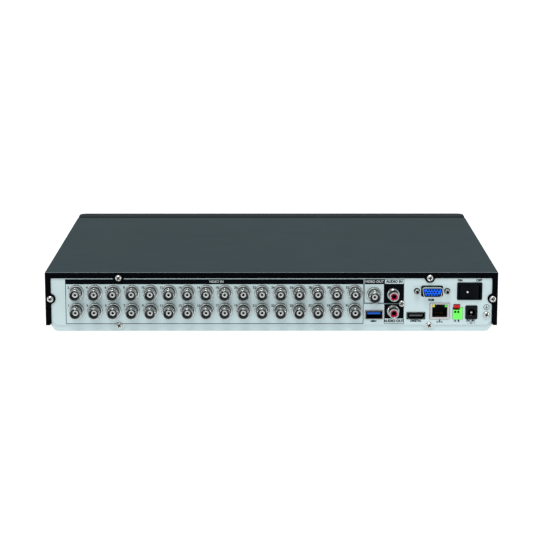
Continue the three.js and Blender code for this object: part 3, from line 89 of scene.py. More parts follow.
def material(name, rgb, metal=0.0, rough=0.5, spec=0.5, vary=0.06, patch=60.0, rough_vary=0.08,
             grain=900.0, bump=0.15, depth=0.02, stretch=(1, 1, 1), kind="noise", edge_wear_and_sheen=0.0,
             edge_wear_and_sheen_rgb=(180, 184, 186), coat=0.0, emit=None):
    """A procedural finish: patchy colour, uneven gloss, fine relief, and lighter edges where asked, as
    rub marks and painted highlight.
    """
    mat = bpy.data.materials.new(name)
    mat.use_nodes = True
    nodes, links = mat.node_tree.nodes, mat.node_tree.links
    shader = nodes["Principled BSDF"]
    base = linear(rgb)
    mat.diffuse_color = (*base, 1)
    shader.inputs["Metallic"].default_value = metal
    shader.inputs["Specular IOR Level"].default_value = spec
    shader.inputs["Coat Weight"].default_value = coat
    shader.inputs["Coat Roughness"].default_value = 0.1
    if emit:
        shader.inputs["Emission Color"].default_value = (*linear(emit[0]), 1)
        shader.inputs["Emission Strength"].default_value = emit[1]
    coords = nodes.new("ShaderNodeTexCoord")
    mapping = nodes.new("ShaderNodeMapping")
    mapping.inputs["Scale"].default_value = stretch
    links.new(coords.outputs["Object"], mapping.inputs["Vector"])

    def noise(scale, detail):
        tex = nodes.new("ShaderNodeTexNoise")
        tex.inputs["Scale"].default_value = scale
        tex.inputs["Detail"].default_value = detail
        links.new(mapping.outputs["Vector"], tex.inputs["Vector"])
        return tex.outputs["Fac"]

    def spread(value, low, high, to_low=0.0, to_high=1.0):
        """Maps the range low to high of a value onto another range."""
        ramp = nodes.new("ShaderNodeMapRange")
        ramp.inputs["From Min"].default_value = low
        ramp.inputs["From Max"].default_value = high
        ramp.inputs["To Min"].default_value = to_low
        ramp.inputs["To Max"].default_value = to_high
        links.new(value, ramp.inputs["Value"])
        return ramp.outputs["Result"]

    mix = nodes.new("ShaderNodeMix")
    mix.data_type = "RGBA"
    mix.inputs["A"].default_value = (*[min(1, c * (1 - vary)) for c in base], 1)
    mix.inputs["B"].default_value = (*[min(1, c * (1 + vary)) for c in base], 1)
    links.new(spread(noise(patch, 3), 0.3, 0.7), mix.inputs["Factor"])
    colour = mix.outputs["Result"]
    # Convex edges are mixed towards a lighter colour: rubbed edges, and on the switch a painted
    # highlight.
    if edge_wear_and_sheen:
        geometry = nodes.new("ShaderNodeNewGeometry")
        edges = spread(geometry.outputs["Pointiness"], 0.52, 0.62, to_high=edge_wear_and_sheen)
        edge_wear_and_sheen_mix = nodes.new("ShaderNodeMix")
        edge_wear_and_sheen_mix.data_type = "RGBA"
        edge_wear_and_sheen_mix.inputs["B"].default_value = (*linear(edge_wear_and_sheen_rgb), 1)
        links.new(edges, edge_wear_and_sheen_mix.inputs["Factor"])
        links.new(colour, edge_wear_and_sheen_mix.inputs["A"])
        colour = edge_wear_and_sheen_mix.outputs["Result"]
    links.new(colour, shader.inputs["Base Color"])
    gloss = spread(noise(patch * 3.1, 5), 0.25, 0.75, max(0.02, rough - rough_vary),
                   min(1.0, rough + rough_vary))
    links.new(gloss, shader.inputs["Roughness"])

    if kind == "cells":
        fine = nodes.new("ShaderNodeTexVoronoi")
        fine.inputs["Scale"].default_value = grain
        links.new(mapping.outputs["Vector"], fine.inputs["Vector"])
        height = fine.outputs["Distance"]
    else:
        height = noise(grain, 4)
    relief = nodes.new("ShaderNodeBump")
    relief.inputs["Strength"].default_value = bump
    relief.inputs["Distance"].default_value = depth * MM
    links.new(height, relief.inputs["Height"])
    links.new(relief.outputs["Normal"], shader.inputs["Normal"])
    return mat


def plastic(name, rgb, patch=200, bump=0.1, **more):
    return material(name, rgb, patch=patch, grain=2500, bump=bump, **more)


def plated(name, rgb, patch=220, bump=0.08, **more):
    return material(name, rgb, patch=patch, grain=4000, bump=bump, depth=0.01, **more)


def printed(name, rgb, **more):
    return material(name, rgb, rough=0.6, grain=3000, bump=0.1, depth=0.004, **more)


M = {}
M["paint"] = material(
    "cover_paint", (41, 56, 59), rough=0.5, spec=0.07, vary=0.035, patch=9, rough_vary=0.025,
    grain=1500, bump=0.3, depth=0.02, kind="cells")
# The rounded fold along the cover's rear top edge is the same paint drawn lighter: a painted highlight.
M["edge"] = material(
    "cover_fold_painted_highlight", (112, 126, 131), rough=0.4, spec=0.2, vary=0.08, patch=60, grain=1500,
    bump=0.2, depth=0.01)
# The rear flange is the cover's own paint drawn near black: painted shade on the faces turned away from
# the light.
M["flange"] = material(
    "cover_flange_painted_shade", (2, 3, 6), rough=0.6, spec=0.02, vary=0.3, patch=30, grain=1500,
    bump=0.25, depth=0.02, kind="cells")
M["zinc"] = material(
    "zinc_plate", (180, 198, 200), metal=0.45, rough=0.42, vary=0.035, patch=26, rough_vary=0.07,
    grain=2600, bump=0.12, depth=0.01, stretch=(0.15, 1, 1))
M["nickel"] = plated(
    "nickel_plate", (164, 168, 167), metal=1, rough=0.12, vary=0.07, rough_vary=0.07)
M["collar"] = plated(
    "bright_nickel_collar", (196, 203, 202), metal=1, rough=0.2, rough_vary=0.07)
# A darker copy of the nickel plate: painted shade inside the coaxial bores and on their threads; the
# digital socket's shell is drawn in it as well.
M["bore"] = plated(
    "darker_nickel_painted_shade", (92, 96, 96), metal=0.85, rough=0.45, vary=0.12, patch=300, rough_vary=0.1,
    bump=0.1)
M["steel"] = material(
    "drawn_steel", (186, 186, 184), metal=1, rough=0.3, vary=0.06, patch=160, rough_vary=0.09,
    grain=3000, bump=0.1, depth=0.01)
M["screw"] = material(
    "screw_zinc", (190, 192, 190), metal=1, rough=0.26, vary=0.08, patch=500, grain=5000,
    bump=0.12, depth=0.012, edge_wear_and_sheen=0.3, edge_wear_and_sheen_rgb=(235, 235, 235))
M["gold"] = material(
    "contact_gold", (104, 84, 42), metal=1, rough=0.25, vary=0.08, patch=500, grain=5000,
    bump=0.05, depth=0.005)
M["tongue_grey"] = plastic("tongue_grey", (74, 80, 82), rough=0.45, spec=0.3, vary=0.1)
M["white"] = plastic(
    "insulator_white", (222, 228, 228), rough=0.42, vary=0.02, patch=300, bump=0.08)
M["black"] = material(
    "moulded_black", (4, 6, 9), rough=0.42, spec=0.1, vary=0.25, patch=90, rough_vary=0.1,
    grain=1800, bump=0.2, depth=0.02, edge_wear_and_sheen=0.12, edge_wear_and_sheen_rgb=(36, 48, 54))
# The switch's lighter edge colour is a painted highlight along its chamfers.
M["switch"] = material(
    "switch_black", (2, 4, 8), rough=0.5, spec=0.05, vary=0.3, patch=70, rough_vary=0.08,
    grain=1500, bump=0.2, depth=0.02, edge_wear_and_sheen=0.2, edge_wear_and_sheen_rgb=(30, 44, 58))
# Near black, for the screws' cross recesses and the flange behind the monitor socket: painted shade.
M["recess"] = plated(
    "recess_painted_shade", (9, 11, 12), metal=0.2, rough=0.7, spec=0.1, vary=0.25, patch=600, bump=0.15)
M["bezel"] = material(
    "bezel_black", (22, 31, 33), rough=0.55, spec=0.12, vary=0.12, patch=40, rough_vary=0.06,
    grain=1600, bump=0.25, depth=0.02, kind="cells", edge_wear_and_sheen=0.06, edge_wear_and_sheen_rgb=(60, 74, 78))
M["window"] = material(
    "smoked_window", (9, 10, 13), rough=0.08, spec=0.5, vary=0.1, patch=30, rough_vary=0.03,
    grain=400, bump=0.02, depth=0.01, coat=0.6)
M["crimson"] = plastic(
    "phono_crimson", (166, 0, 60), rough=0.3, spec=0.3, vary=0.12, patch=260, bump=0.08)
M["usb_blue"] = plastic("tongue_blue", (10, 96, 212), rough=0.4, spec=0.25, vary=0.08)
M["vga_blue"] = plastic("monitor_socket_blue", (6, 92, 228), rough=0.4, spec=0.2)
M["green"] = material(
    "terminal_green", (84, 232, 66), rough=0.42, vary=0.05, patch=150, grain=2200, bump=0.12,
    edge_wear_and_sheen=0.2, edge_wear_and_sheen_rgb=(170, 255, 150))
M["red"] = plastic("lever_red", (170, 8, 20), rough=0.36, spec=0.25, vary=0.08)
M["ink"] = printed("printed_ink", (2, 5, 9), spec=0.03, vary=0.15, patch=50)
M["grey_ink"] = printed("printed_grey", (112, 130, 134), spec=0.2, vary=0.08, patch=80)
M["white_ink"] = printed("printed_white", (200, 210, 212), spec=0.2, vary=0.04, patch=80)
M["rubber"] = material(
    "foot_rubber", (22, 22, 23), rough=0.85, spec=0.25, vary=0.2, patch=120, grain=1400, bump=0.4,
    depth=0.05)
M["board"] = material(
    "solder_mask", (18, 86, 52), rough=0.38, vary=0.16, patch=120, grain=700, bump=0.3,
    depth=0.02, coat=0.3)
M["drive"] = material(
    "drive_casting", (150, 154, 158), metal=0.9, rough=0.42, vary=0.06, patch=60, grain=1600,
    bump=0.3, depth=0.03, edge_wear_and_sheen=0.2)
M["lid"] = material(
    "drive_lid", (190, 193, 196), metal=1, rough=0.28, vary=0.04, patch=40, grain=2500, bump=0.1,
    depth=0.01, stretch=(0.1, 1, 1))
M["sink"] = material(
    "anodised_sink", (176, 180, 184), metal=0.9, rough=0.4, vary=0.05, patch=90, grain=2600,
    bump=0.15, depth=0.02, stretch=(1, 0.1, 1))
M["lead"] = material(
    "lead_jacket", (26, 28, 31), rough=0.6, vary=0.15, patch=150, grain=1500, bump=0.2, depth=0.03)
M["ribbon"] = material(
    "ribbon_jacket", (146, 149, 152), rough=0.55, vary=0.1, patch=1, grain=800, bump=0.6,
    depth=0.12, stretch=(1, 0.02, 0.02))
for name, rgb in (("led_green", (60, 190, 60)), ("led_amber", (190, 196, 40))):
    M[name] = material(name, rgb, rough=0.25, vary=0.05, patch=300, bump=0.05, coat=0.4)
M["chip"] = plastic("chip_black", (26, 27, 29), rough=0.55, vary=0.1, bump=0.2, depth=0.01)
M["sleeve"] = material(
    "capacitor_sleeve", (40, 46, 70), rough=0.35, vary=0.1, patch=200, grain=1200, bump=0.1)


# ------------------------------------------------------------------ mesh helpers


def placed(name, data):
    """A new object in the scene."""
    obj = bpy.data.objects.new(name, data)
    bpy.context.scene.collection.objects.link(obj)
    return obj


def evaluated(obj):
    """The mesh that an object's modifiers, its curve or its lettering make."""
    bpy.context.view_layer.update()
    return bpy.data.meshes.new_from_object(
        obj.evaluated_get(bpy.context.evaluated_depsgraph_get()))


def apply_modifiers(obj):
    done, old = evaluated(obj), obj.data
    obj.modifiers.clear()
    obj.data = done
    bpy.data.meshes.remove(old)


def round_edges(bm, edges, width, segs):
    bmesh.ops.bevel(bm, geom=edges, offset=width, segments=segs, profile=0.5, affect="EDGES",
                    clamp_overlap=True)


class Shape:
    """A mesh under construction: closed shells are added one by one, each with its material."""

    def __init__(self, *mats):
        self.bm = bmesh.new()
        self.mats = mats

    def mark(self, faces, mat=None):
        for face in faces:
            face.material_index = self.mats.index(mat) if mat else 0

    def strip(self, a, b):
        """The faces between two matching loops of vertices."""
        return [self.bm.faces.new(four) for four in zip(a, a[1:] + a[:1], b[1:] + b[:1], b)]

    def round_edges(self, edges, width, segs):
        round_edges(self.bm, edges, width, segs)

    def box(self, x0, x1, y0, y1, z0, z1, bevel=0.2, mat=None, segs=2):
        before = set(self.bm.faces)
        verts = bmesh.ops.create_cube(self.bm, size=1)["verts"]
        scale = Matrix.Diagonal((x1 - x0, y1 - y0, z1 - z0, 1))
        move = Matrix.Translation(((x0 + x1) / 2, (y0 + y1) / 2, (z0 + z1) / 2))
        bmesh.ops.transform(self.bm, matrix=move @ scale, verts=verts)
        room = 0.45 * min(x1 - x0, y1 - y0, z1 - z0)
        self.round_edges(list({e for v in verts for e in v.link_edges}), min(bevel, room), segs)
        self.mark([f for f in self.bm.faces if f not in before], mat)

    def lathe(self, profile, x, z, y=PY, sides=40, mat=None, along="-y", inner=None):
        """Revolves (radius, distance) pairs; distance runs outwards along -Y, or along an axis.
        From the point that `inner` counts on, the faces take its material."""
        spot = {
            "-y": lambda u, v, d: (x + u, y - d, z + v),
            "y": lambda u, v, d: (x + u, y + d, z - v),
            "-z": lambda u, v, d: (x + u, y + v, z - d),
            "z": lambda u, v, d: (x + u, y - v, z + d),
            "x": lambda u, v, d: (x + d, y + u, z + v),
        }[along]
        rings = []
        for r, d in profile:
            turns = [2 * math.pi * n / sides for n in range(sides if r > 1e-6 else 1)]
            ring = [self.bm.verts.new(spot(r * math.cos(a), r * math.sin(a), d)) for a in turns]
            rings.append(ring * (sides // len(ring)))
        faces = []
        for row, (a, b) in enumerate(zip(rings, rings[1:]), 1):
            corners = [dict.fromkeys(four) for four in zip(a, b, b[1:] + b[:1], a[1:] + a[:1])]
            strip = [self.bm.faces.new(list(few)) for few in corners if len(few) > 2]
            self.mark(strip, inner[1] if inner and row >= inner[0] else mat)
            faces += strip
        bmesh.ops.recalc_face_normals(self.bm, faces=faces)

    def prism(self, outline, y0, y1, bevel=0.0, mat=None, plane="xz", segs=2):
        """Extrudes a closed outline along the third axis and rounds its front and back edges."""
        turn = {
            "xz": lambda a, b, c: (a, c, b),
            "xy": lambda a, b, c: (a, b, c),
            "yz": lambda a, b, c: (c, a, b),
        }[plane]
        before = set(self.bm.faces)
        low, high = [[self.bm.verts.new(turn(a, b, y)) for a, b in outline] for y in (y0, y1)]
        caps = [self.bm.faces.new(low), self.bm.faces.new(high)]
        bmesh.ops.recalc_face_normals(self.bm, faces=caps + self.strip(low, high))
        if bevel:
            self.round_edges([e for f in caps for e in f.edges], bevel, segs)
        self.mark([f for f in self.bm.faces if f not in before], mat)

    def loft(self, rings, mat=None):
        """Joins matching outlines, each with its y, into one closed body."""
        loops = [[self.bm.verts.new((a, y, b)) for a, b in line] for line, y in rings]
        faces = [self.bm.faces.new(loops[0]), self.bm.faces.new(loops[-1])]
        for a, b in zip(loops, loops[1:]):
            faces += self.strip(a, b)
        self.mark(faces, mat)
        bmesh.ops.recalc_face_normals(self.bm, faces=faces)

    def shell(self, outer, inner, y0, y1, depth=None, inside=None):
        """A tube of matching outlines along Y, open at y0; closed inside at depth if given."""
        loops = [[self.bm.verts.new((a, y, b)) for a, b in line] for line, y in (
            (outer, y1), (outer, y0 + 0.12), (shrink(outer, 0.1), y0),
            (shrink(inner, -0.06), y0), (inner, y0 + 0.1), (inner, depth or y1))]
        faces = []
        for a, b in zip(loops, loops[1:]):
            ring = self.strip(a, b)
            self.mark(ring, inside if b is loops[-1] else None)
            faces += ring
        if depth:
            floor = self.bm.faces.new(loops[-1])
            self.mark([floor], inside)
            faces += [floor, self.bm.faces.new(list(reversed(loops[0])))]
        else:
            faces += self.strip(loops[-1], loops[0])
        bmesh.ops.recalc_face_normals(self.bm, faces=faces)

    def mesh(self, mesh, mat=None, matrix=None):
        """Adds another mesh, in millimetres."""
        before = set(self.bm.faces)
        self.bm.from_mesh(mesh)
        new = [f for f in self.bm.faces if f not in before]
        if matrix:
            bmesh.ops.transform(self.bm, matrix=matrix, verts=list({v for f in new for v in f.verts}))
        self.mark(new, mat)

    def loose(self, name="cutter"):
        """The finished shape as a bare object, in metres."""
        bmesh.ops.scale(self.bm, vec=(MM, MM, MM), verts=self.bm.verts)
        data = bpy.data.meshes.new(name)
        self.bm.to_mesh(data)
        self.bm.free()
        for mat in self.mats:
            data.materials.append(mat)
        return placed(name, data)

    def build(self, name, *, node=None, body="chassis", slot=None, angle=32):
        """The finished shape as a piece that rides a body and may stand in for a CAD node."""
        for edge in self.bm.edges:
            if len(edge.link_faces) == 2:
                edge.smooth = edge.calc_face_angle(0) < math.radians(angle)
        for face in self.bm.faces:
            face.smooth = True
        obj = finished(self.loose(name))
        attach(obj, body)
        if node:
            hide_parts(node)
        return obj


def finished(obj):
    """Weights the normals by face size, so that flat sheets stay flat beside their bends."""
    for poly in obj.data.polygons:
        poly.use_smooth = True
    mod = obj.modifiers.new("weighted", "WEIGHTED_NORMAL")
    mod.keep_sharp = True
    mod.weight = 80
    apply_modifiers(obj)
    return obj


def shrink(outline, by):
    """Moves a closed outline's points in by a distance along their corner bisectors."""
    area = sum(a[0] * b[1] - b[0] * a[1] for a, b in zip(outline, outline[1:] + outline[:1]))
    sign = 1 if area > 0 else -1
    out = []
    count = len(outline)
    for n in range(count):
        p, q, r = outline[n - 1], outline[n], outline[(n + 1) % count]
        e = Vector((q[0] - p[0], q[1] - p[1])).normalized()
        f = Vector((r[0] - q[0], r[1] - q[1])).normalized()
        normal = Vector((-(e.y + f.y), e.x + f.x))
        if normal.length < 1e-9:
            normal = Vector((-e.y, e.x))
        normal.normalize()
        reach = by / max(0.35, normal.dot(Vector((-e.y, e.x))))
        out.append((q[0] + sign * normal.x * reach, q[1] + sign * normal.y * reach))
    return out


def round_rect(x0, x1, z0, z1, r, steps=4):
    out = []
    for cx, cz, a0 in (
        (x1 - r, z1 - r, 0), (x0 + r, z1 - r, 90), (x0 + r, z0 + r, 180), (x1 - r, z0 + r, 270)):
        for n in range(steps + 1):
            a = math.radians(a0 + 90 * n / steps)
            out.append((cx + r * math.cos(a), cz + r * math.sin(a)))
    return out


def circle(x, z, r, sides=32):
    steps = [2 * math.pi * n / sides for n in range(sides)]
    return [(x + r * math.cos(a), z + r * math.sin(a)) for a in steps]


def flat_mesh(outlines, thickness, bevel):
    """A plate with holes, as a mesh in its own XY plane: the first outline holds the others."""
    curve = bpy.data.curves.new("plate", "CURVE")
    curve.dimensions = "2D"
    curve.fill_mode = "BOTH"
    curve.extrude = thickness / 2 - bevel
    curve.bevel_depth = bevel
    curve.bevel_resolution = 1
    curve.offset = -bevel
    for line in outlines:
        spline = curve.splines.new("POLY")
        spline.points.add(len(line) - 1)
        for point, (a, b) in zip(spline.points, line):
            point.co = (a, b, 0, 1)
        spline.use_cyclic_u = True
    obj = placed("plate", curve)
    mesh = evaluated(obj)
    bpy.data.objects.remove(obj)
    bm = bmesh.new()
    bm.from_mesh(mesh)
    bmesh.ops.remove_doubles(bm, verts=bm.verts, dist=0.002)
    bmesh.ops.recalc_face_normals(bm, faces=bm.faces)
    bm.to_mesh(mesh)
    bm.free()
    return mesh


def facing(y, thickness):
    """Puts a flat mesh's front on the plane y, looking towards -Y."""
    return Matrix.Translation((0, y + thickness / 2, 0)) @ Matrix.Rotation(math.pi / 2, 4, "X")


def letters(text, size, bold=0.0):
    """Flat lettering as a mesh, centred, with its capitals' height about 0.7 of size."""
    curve = bpy.data.curves.new("letters", "FONT")
    curve.body = text
    curve.size = size
    curve.align_x = "CENTER"
    curve.align_y = "CENTER"
    curve.extrude = 0.01
    curve.offset = bold
    curve.resolution_u = 3
    obj = placed("letters", curve)
    mesh = evaluated(obj)
    bpy.data.objects.remove(obj)
    return mesh


def rounded(node, mat, width, angle=38, segs=2):
    """The CAD node's own shape with its corners rounded."""
    shape = Shape(mat)
    bm = shape.bm
    bm.from_mesh(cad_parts[node].data)
    bmesh.ops.scale(bm, vec=(1 / MM,) * 3, verts=bm.verts)
    bmesh.ops.remove_doubles(bm, verts=bm.verts, dist=0.004)
    bmesh.ops.dissolve_limit(
        bm, angle_limit=math.radians(2), verts=bm.verts, edges=bm.edges, delimit=set())
    limit = math.radians(angle)
    sharp = [e for e in bm.edges if len(e.link_faces) == 2 and e.calc_face_angle(0) > limit]
    shape.round_edges(sharp, width, segs)
    shape.mark(bm.faces)
    return shape


def refined(node, name, mat, width=0.3, angle=38, segs=2, body="chassis", slot=None):
    return rounded(node, mat, width, angle, segs).build(name, node=node, body=body, slot=slot)


def carve(obj, shape):
    """Cuts a closed shape out of an object in place."""
    cutter = shape.loose()
    mod = obj.modifiers.new("cut", "BOOLEAN")
    mod.operation = "DIFFERENCE"
    mod.solver = "EXACT"
    mod.use_self = True
    mod.object = cutter
    apply_modifiers(obj)
    bpy.data.objects.remove(cutter)
    return obj


# ------------------------------------------------------------------ folded sheet steel

EAR = 4.2  # radius of the tab round a screw
FILLET = 1.5
TOP_FLANGE = 5.0
SIDE_FLANGE = 4.8
SHEET = 1.0
BEVEL_RUN, BEVEL_RISE = 6.6, 8.4  # of the tray's lower corners
COVER_TOP = [Place("cover_screw_top_left"), Place("cover_screw_top_right")]
COVER_SIDE = Place("cover_screw_side_left")
PANEL_TABS = [Place("panel_screw_left"), Place("panel_screw_right")]


def swing(cx, cy, r, a0, a1, steps):
    turns = [math.radians(a0 + (a1 - a0) * n / steps) for n in range(steps + 1)]
    return [(cx + r * math.cos(a), cy + r * math.sin(a)) for a in turns]


def ear(origin, along, drop):
    """A filleted round tab on a straight edge; the sheet lies to the left of the edge's run."""
    rise = drop + FILLET
    run = math.sqrt((EAR + FILLET) ** 2 - rise**2)
    lean = math.degrees(math.atan2(rise, run))
    local = swing(-run, -FILLET, FILLET, 90, lean, 5)
    local += swing(0, drop, EAR, 180 + lean, 360 - lean, 18)[1:-1]
    local += swing(run, -FILLET, FILLET, 180 - lean, 90, 5)
    (ox, oz), (tx, tz) = origin, along
    return [(ox + u * tx - v * tz, oz + u * tz + v * tx) for u, v in local]


def folded(outer, inner, y0, y1, front, bend, mats, end_mat):
    """A folded case open along one side: its rear flange, its walls and maybe a front wall."""
    bm = bmesh.new()
    rear = [bm.verts.new((x, y0, z)) for x, z in outer]
    far = [bm.verts.new((x, y1, z)) for x, z in outer]
    lip = [bm.verts.new((x, y0, z)) for x, z in inner]
    flange = bm.faces.new(rear + lip)
    folds = []
    for n in range(len(outer) - 1):
        bm.faces.new((rear[n], rear[n + 1], far[n + 1], far[n]))
        folds.append(bm.edges.get((rear[n], rear[n + 1])))
        if front:
            folds.append(bm.edges.get((far[n], far[n + 1])))
        turn = n and (Vector(outer[n]) - Vector(outer[n - 1])).angle(
            Vector(outer[n + 1]) - Vector(outer[n]))
        if turn and turn > 0.4:
            folds.append(bm.edges.get((rear[n], far[n])))
    if front:
        bm.faces.new(far)
    bmesh.ops.recalc_face_normals(bm, faces=bm.faces)
    if flange.normal.y > 0:
        bmesh.ops.reverse_faces(bm, faces=bm.faces)
    round_edges(bm, folds, bend, 4)
    for face in bm.faces:
        # On the cover, faces turned to -Y take the near-black copy of the paint (painted shade) and the
        # fold between top and flange a lighter copy (a painted highlight).
        fold = len(mats) > 2 and -0.7 < face.normal.y < -0.05 and face.normal.z > 0.3
        face.material_index = 2 if fold else mats.index(end_mat) if face.normal.y < -0.5 else 0
    data = bpy.data.meshes.new("folded")
    bm.to_mesh(data)
    bm.free()
    obj = placed("folded", data)
    wall = obj.modifiers.new("wall", "SOLIDIFY")
    wall.thickness = SHEET
    wall.offset = -1
    wall.use_even_offset = True
    wall.use_quality_normals = True
    shape = Shape(*mats)
    shape.bm.from_mesh(evaluated(obj))
    bpy.data.objects.remove(obj)
    return shape


def vent_cutter():
    fan = Place("fan_frame")
    middle = (COVER.z0 + COVER.z1) / 2
    shape = Shape(M["paint"])
    for n in range(12):
        y = fan.y + (n - 5.5) * 5.2
        shape.prism(round_rect(y - 1, y + 1, middle - 8, middle + 8, 0.95, 4), -200, 200,
                    plane="yz")
    return shape


def cover():
    left, right = COVER.x0 + SIDE_FLANGE, COVER.x1 - SIDE_FLANGE
    top = COVER.z1 - TOP_FLANGE
    side_drop = left - COVER_SIDE.x
    inner = [(left - 1.6, COVER.z0), (left, COVER.z0 + 1.6)]
    inner += ear((left, COVER_SIDE.z), (0, 1), side_drop)
    inner += swing(left + 1, top - 1, 1, 180, 90, 4)
    for screw in COVER_TOP:
        inner += ear((screw.x, top), (1, 0), screw.z - top)
    inner += swing(right - 1, top - 1, 1, 90, 0, 4)
    inner += ear((right, COVER_SIDE.z), (0, -1), side_drop)
    inner += [(right, COVER.z0 + 1.6), (right + 1.6, COVER.z0)]
    outer = [(COVER.x0, COVER.z0), (COVER.x0, COVER.z1), (COVER.x1, COVER.z1),
             (COVER.x1, COVER.z0)]
    shape = folded(outer, inner[::-1], COVER.y0, COVER.y1, False, 0.6,
                   [M["paint"], M["flange"], M["edge"]], M["flange"])
    obj = shape.build("cover_folded_steel", node="top_cover", slot="cover_paint", angle=40)
    return finished(carve(obj, vent_cutter()))


def tray():
    wall_top = TRAY.z1
    lean = math.degrees(math.atan2(BEVEL_RISE, BEVEL_RUN))
    r = 4.0
    back = r * math.tan(math.radians(lean / 2))
    corner = swing(TRAY.x0 + BEVEL_RUN + back, TRAY.z0 + r, r, 270 - lean, 270, 4)
    outer = [(TRAY.x0, wall_top), (TRAY.x0, TRAY.z0 + BEVEL_RISE)] + corner
    outer += [(TRAY.x0 + TRAY.x1 - x, z) for x, z in reversed(outer)]
    rim = BOARD.z0 - 0.1
    inner = [(TRAY.x1 - 11, wall_top)] + swing(TRAY.x1 - 12.5, rim + 1.5, 1.5, 0, -90, 4)
    inner += swing(TRAY.x0 + 12.5, rim + 1.5, 1.5, -90, -180, 4) + [(TRAY.x0 + 11, wall_top)]
    shape = folded(outer, inner, TRAY.y0, TRAY.y1, True, 0.8, [M["zinc"]], M["zinc"])
    floor = TRAY.z0 + SHEET
    half = BOARD.x1 - 8
    for x in (-half, 0, half):
        for row in (0.12, 0.9):
            y = BOARD.y0 + row * BOARD.d
            top = BOARD.z0 - 0.1
            shape.lathe([(0, -0.2), (2.6, -0.2), (2.6, top - floor - 0.3), (2.4, top - floor),
                         (0, top - floor)], x, floor, y, 24, along="z")
    for name in ("hard_drive_1", "hard_drive_2"):
        drive = Place(name)
        for sx in (-1, 1):
            for sy in (-1, 1):
                x = drive.x + sx * (drive.w / 2 - 14)
                y = drive.y + sy * (drive.d / 2 - 14)
                top = drive.z0 - 0.1 - floor
                shape.lathe([(0, -0.2), (4.0, -0.2), (4.0, 0.3), (3.4, top - 0.3), (3.1, top),
                             (0, top)], x, floor, y, 24, along="z")
    fan = Place("fan_frame")
    for side in (-1, 1):
        y = fan.y + side * 16.5
        shape.box(fan.x1 + 0.1, fan.x1 + 1.1, y - 3.5, y + 3.5, floor - 0.5, fan.z1, 0.25)
    obj = shape.build("tray_folded_steel", node="base_tray", slot="zinc_plate", angle=40)
    ribbon = Place("front_ribbon")
    window = Place("indicator_window")
    cutter = vent_cutter()
    cutter.prism(round_rect(ribbon.x - 11, ribbon.x + 11, window.z - 3, window.z + 3, 1.5, 4),
                 TRAY.y1 - 3, TRAY.y1 + 3)
    return finished(carve(obj, cutter))


cover()
tray()

# ------------------------------------------------------------------ rear plate and its printing

BANKS = [Place(f"video_in_bank_{n}") for n in (1, 2, 3, 4)]
PITCH = 15.4
LOW_Z = BANKS[0].z0 + 7.4
HIGH_Z = LOW_Z + 15.3
BNC_HOLE = 6.5  # radius of a coaxial socket's cut-out
PHONO_HOLE = 5.5
COLUMNS = [bank.x + (n - 1.5) * PITCH for bank in BANKS for n in range(4)]
OUT = Place("video_out_shell")
OUT_Z = OUT.z1 - 7.3
AUDIO = [Place("audio_out_collar"), Place("audio_in_collar")]
USB = Place("usb_shell")
DIG = Place("digital_video_shell")
VGA = Place("vga_shell")
NUTS = [Place("vga_jackscrew_left"), Place("vga_jackscrew_right")]
LAN = Place("lan_shell")
TERM = Place("terminal_block")
LEVERS = [Place("terminal_lever_a"), Place("terminal_lever_b")]
DC = Place("power_inlet_housing")
SWITCH = Place("power_switch_housing")


def hole(place, gap=0.3, r=0.5, steps=4):
    """A node's outline seen from behind, grown by a gap."""
    return round_rect(place.x0 - gap, place.x1 + gap, place.z0 - gap, place.z1 + gap, r, steps)


def terminal_opening():
    """Round the block, and higher only over its two levers."""
    low, high = TERM.z0 - 0.3, TERM.z1 + 0.3
    left, right = TERM.x0 - 0.3, TERM.x1 + 0.3
    step0, step1 = LEVERS[0].x0 - 0.4, LEVERS[1].x1 + 0.4
    peak = LEVERS[0].z1 + 0.4
    return [(left, low), (right, low), (right, high), (step1, high), (step1, peak),
            (step0, peak), (step0, high), (left, high)]


def rear_plate():
    x0, x1, z0, z1 = PANEL.x0, PANEL.x1, COVER.z0 + 0.1, PANEL.z1
    run = BEVEL_RUN
    rise = run * BEVEL_RISE / (run + SIDE_FLANGE)
    edge = [(x0 + run, z0)]
    for tab in PANEL_TABS:
        edge += ear((tab.x, z0), (1, 0), tab.z - z0)
    edge += [(x1 - run, z0), (x1, z0 + rise), (x1, z1), (x0, z1), (x0, z0 + rise)]
    sockets = [(x, z) for x in COLUMNS for z in (LOW_Z, HIGH_Z)] + [(OUT.x, OUT_Z)]
    holes = [circle(x, z, BNC_HOLE, 40) for x, z in sockets]
    holes += [circle(a.x, a.z, PHONO_HOLE, 40) for a in AUDIO]
    holes += [hole(USB), hole(DIG), hole(LAN), hole(DC, r=1.2), terminal_opening()]
    holes += [circle(n.x, n.z, 2.7, 24) for n in NUTS]
    holes.append(round_rect(VGA.x - 9.2, VGA.x + 9.2, VGA.z - 4.9, VGA.z + 4.9, 1.8))
    holes.append(round_rect(SWITCH.x - 9.75, SWITCH.x + 9.75, SWITCH.z - 6.7, SWITCH.z + 6.7, 0.6))
    for name in ("panel_screw_left", "panel_screw_right", "audio_screw", "ground_screw"):
        screw = Place(name)
        holes.append(circle(screw.x, screw.z, 1.8, 20))
    shape = Shape(M["zinc"])
    shape.mesh(flat_mesh([edge] + holes, SHEET, 0.0), matrix=facing(PY, SHEET))
    return shape.build("rear_connector_plate", node="rear_panel", slot="zinc_plate")


INK = 0.03


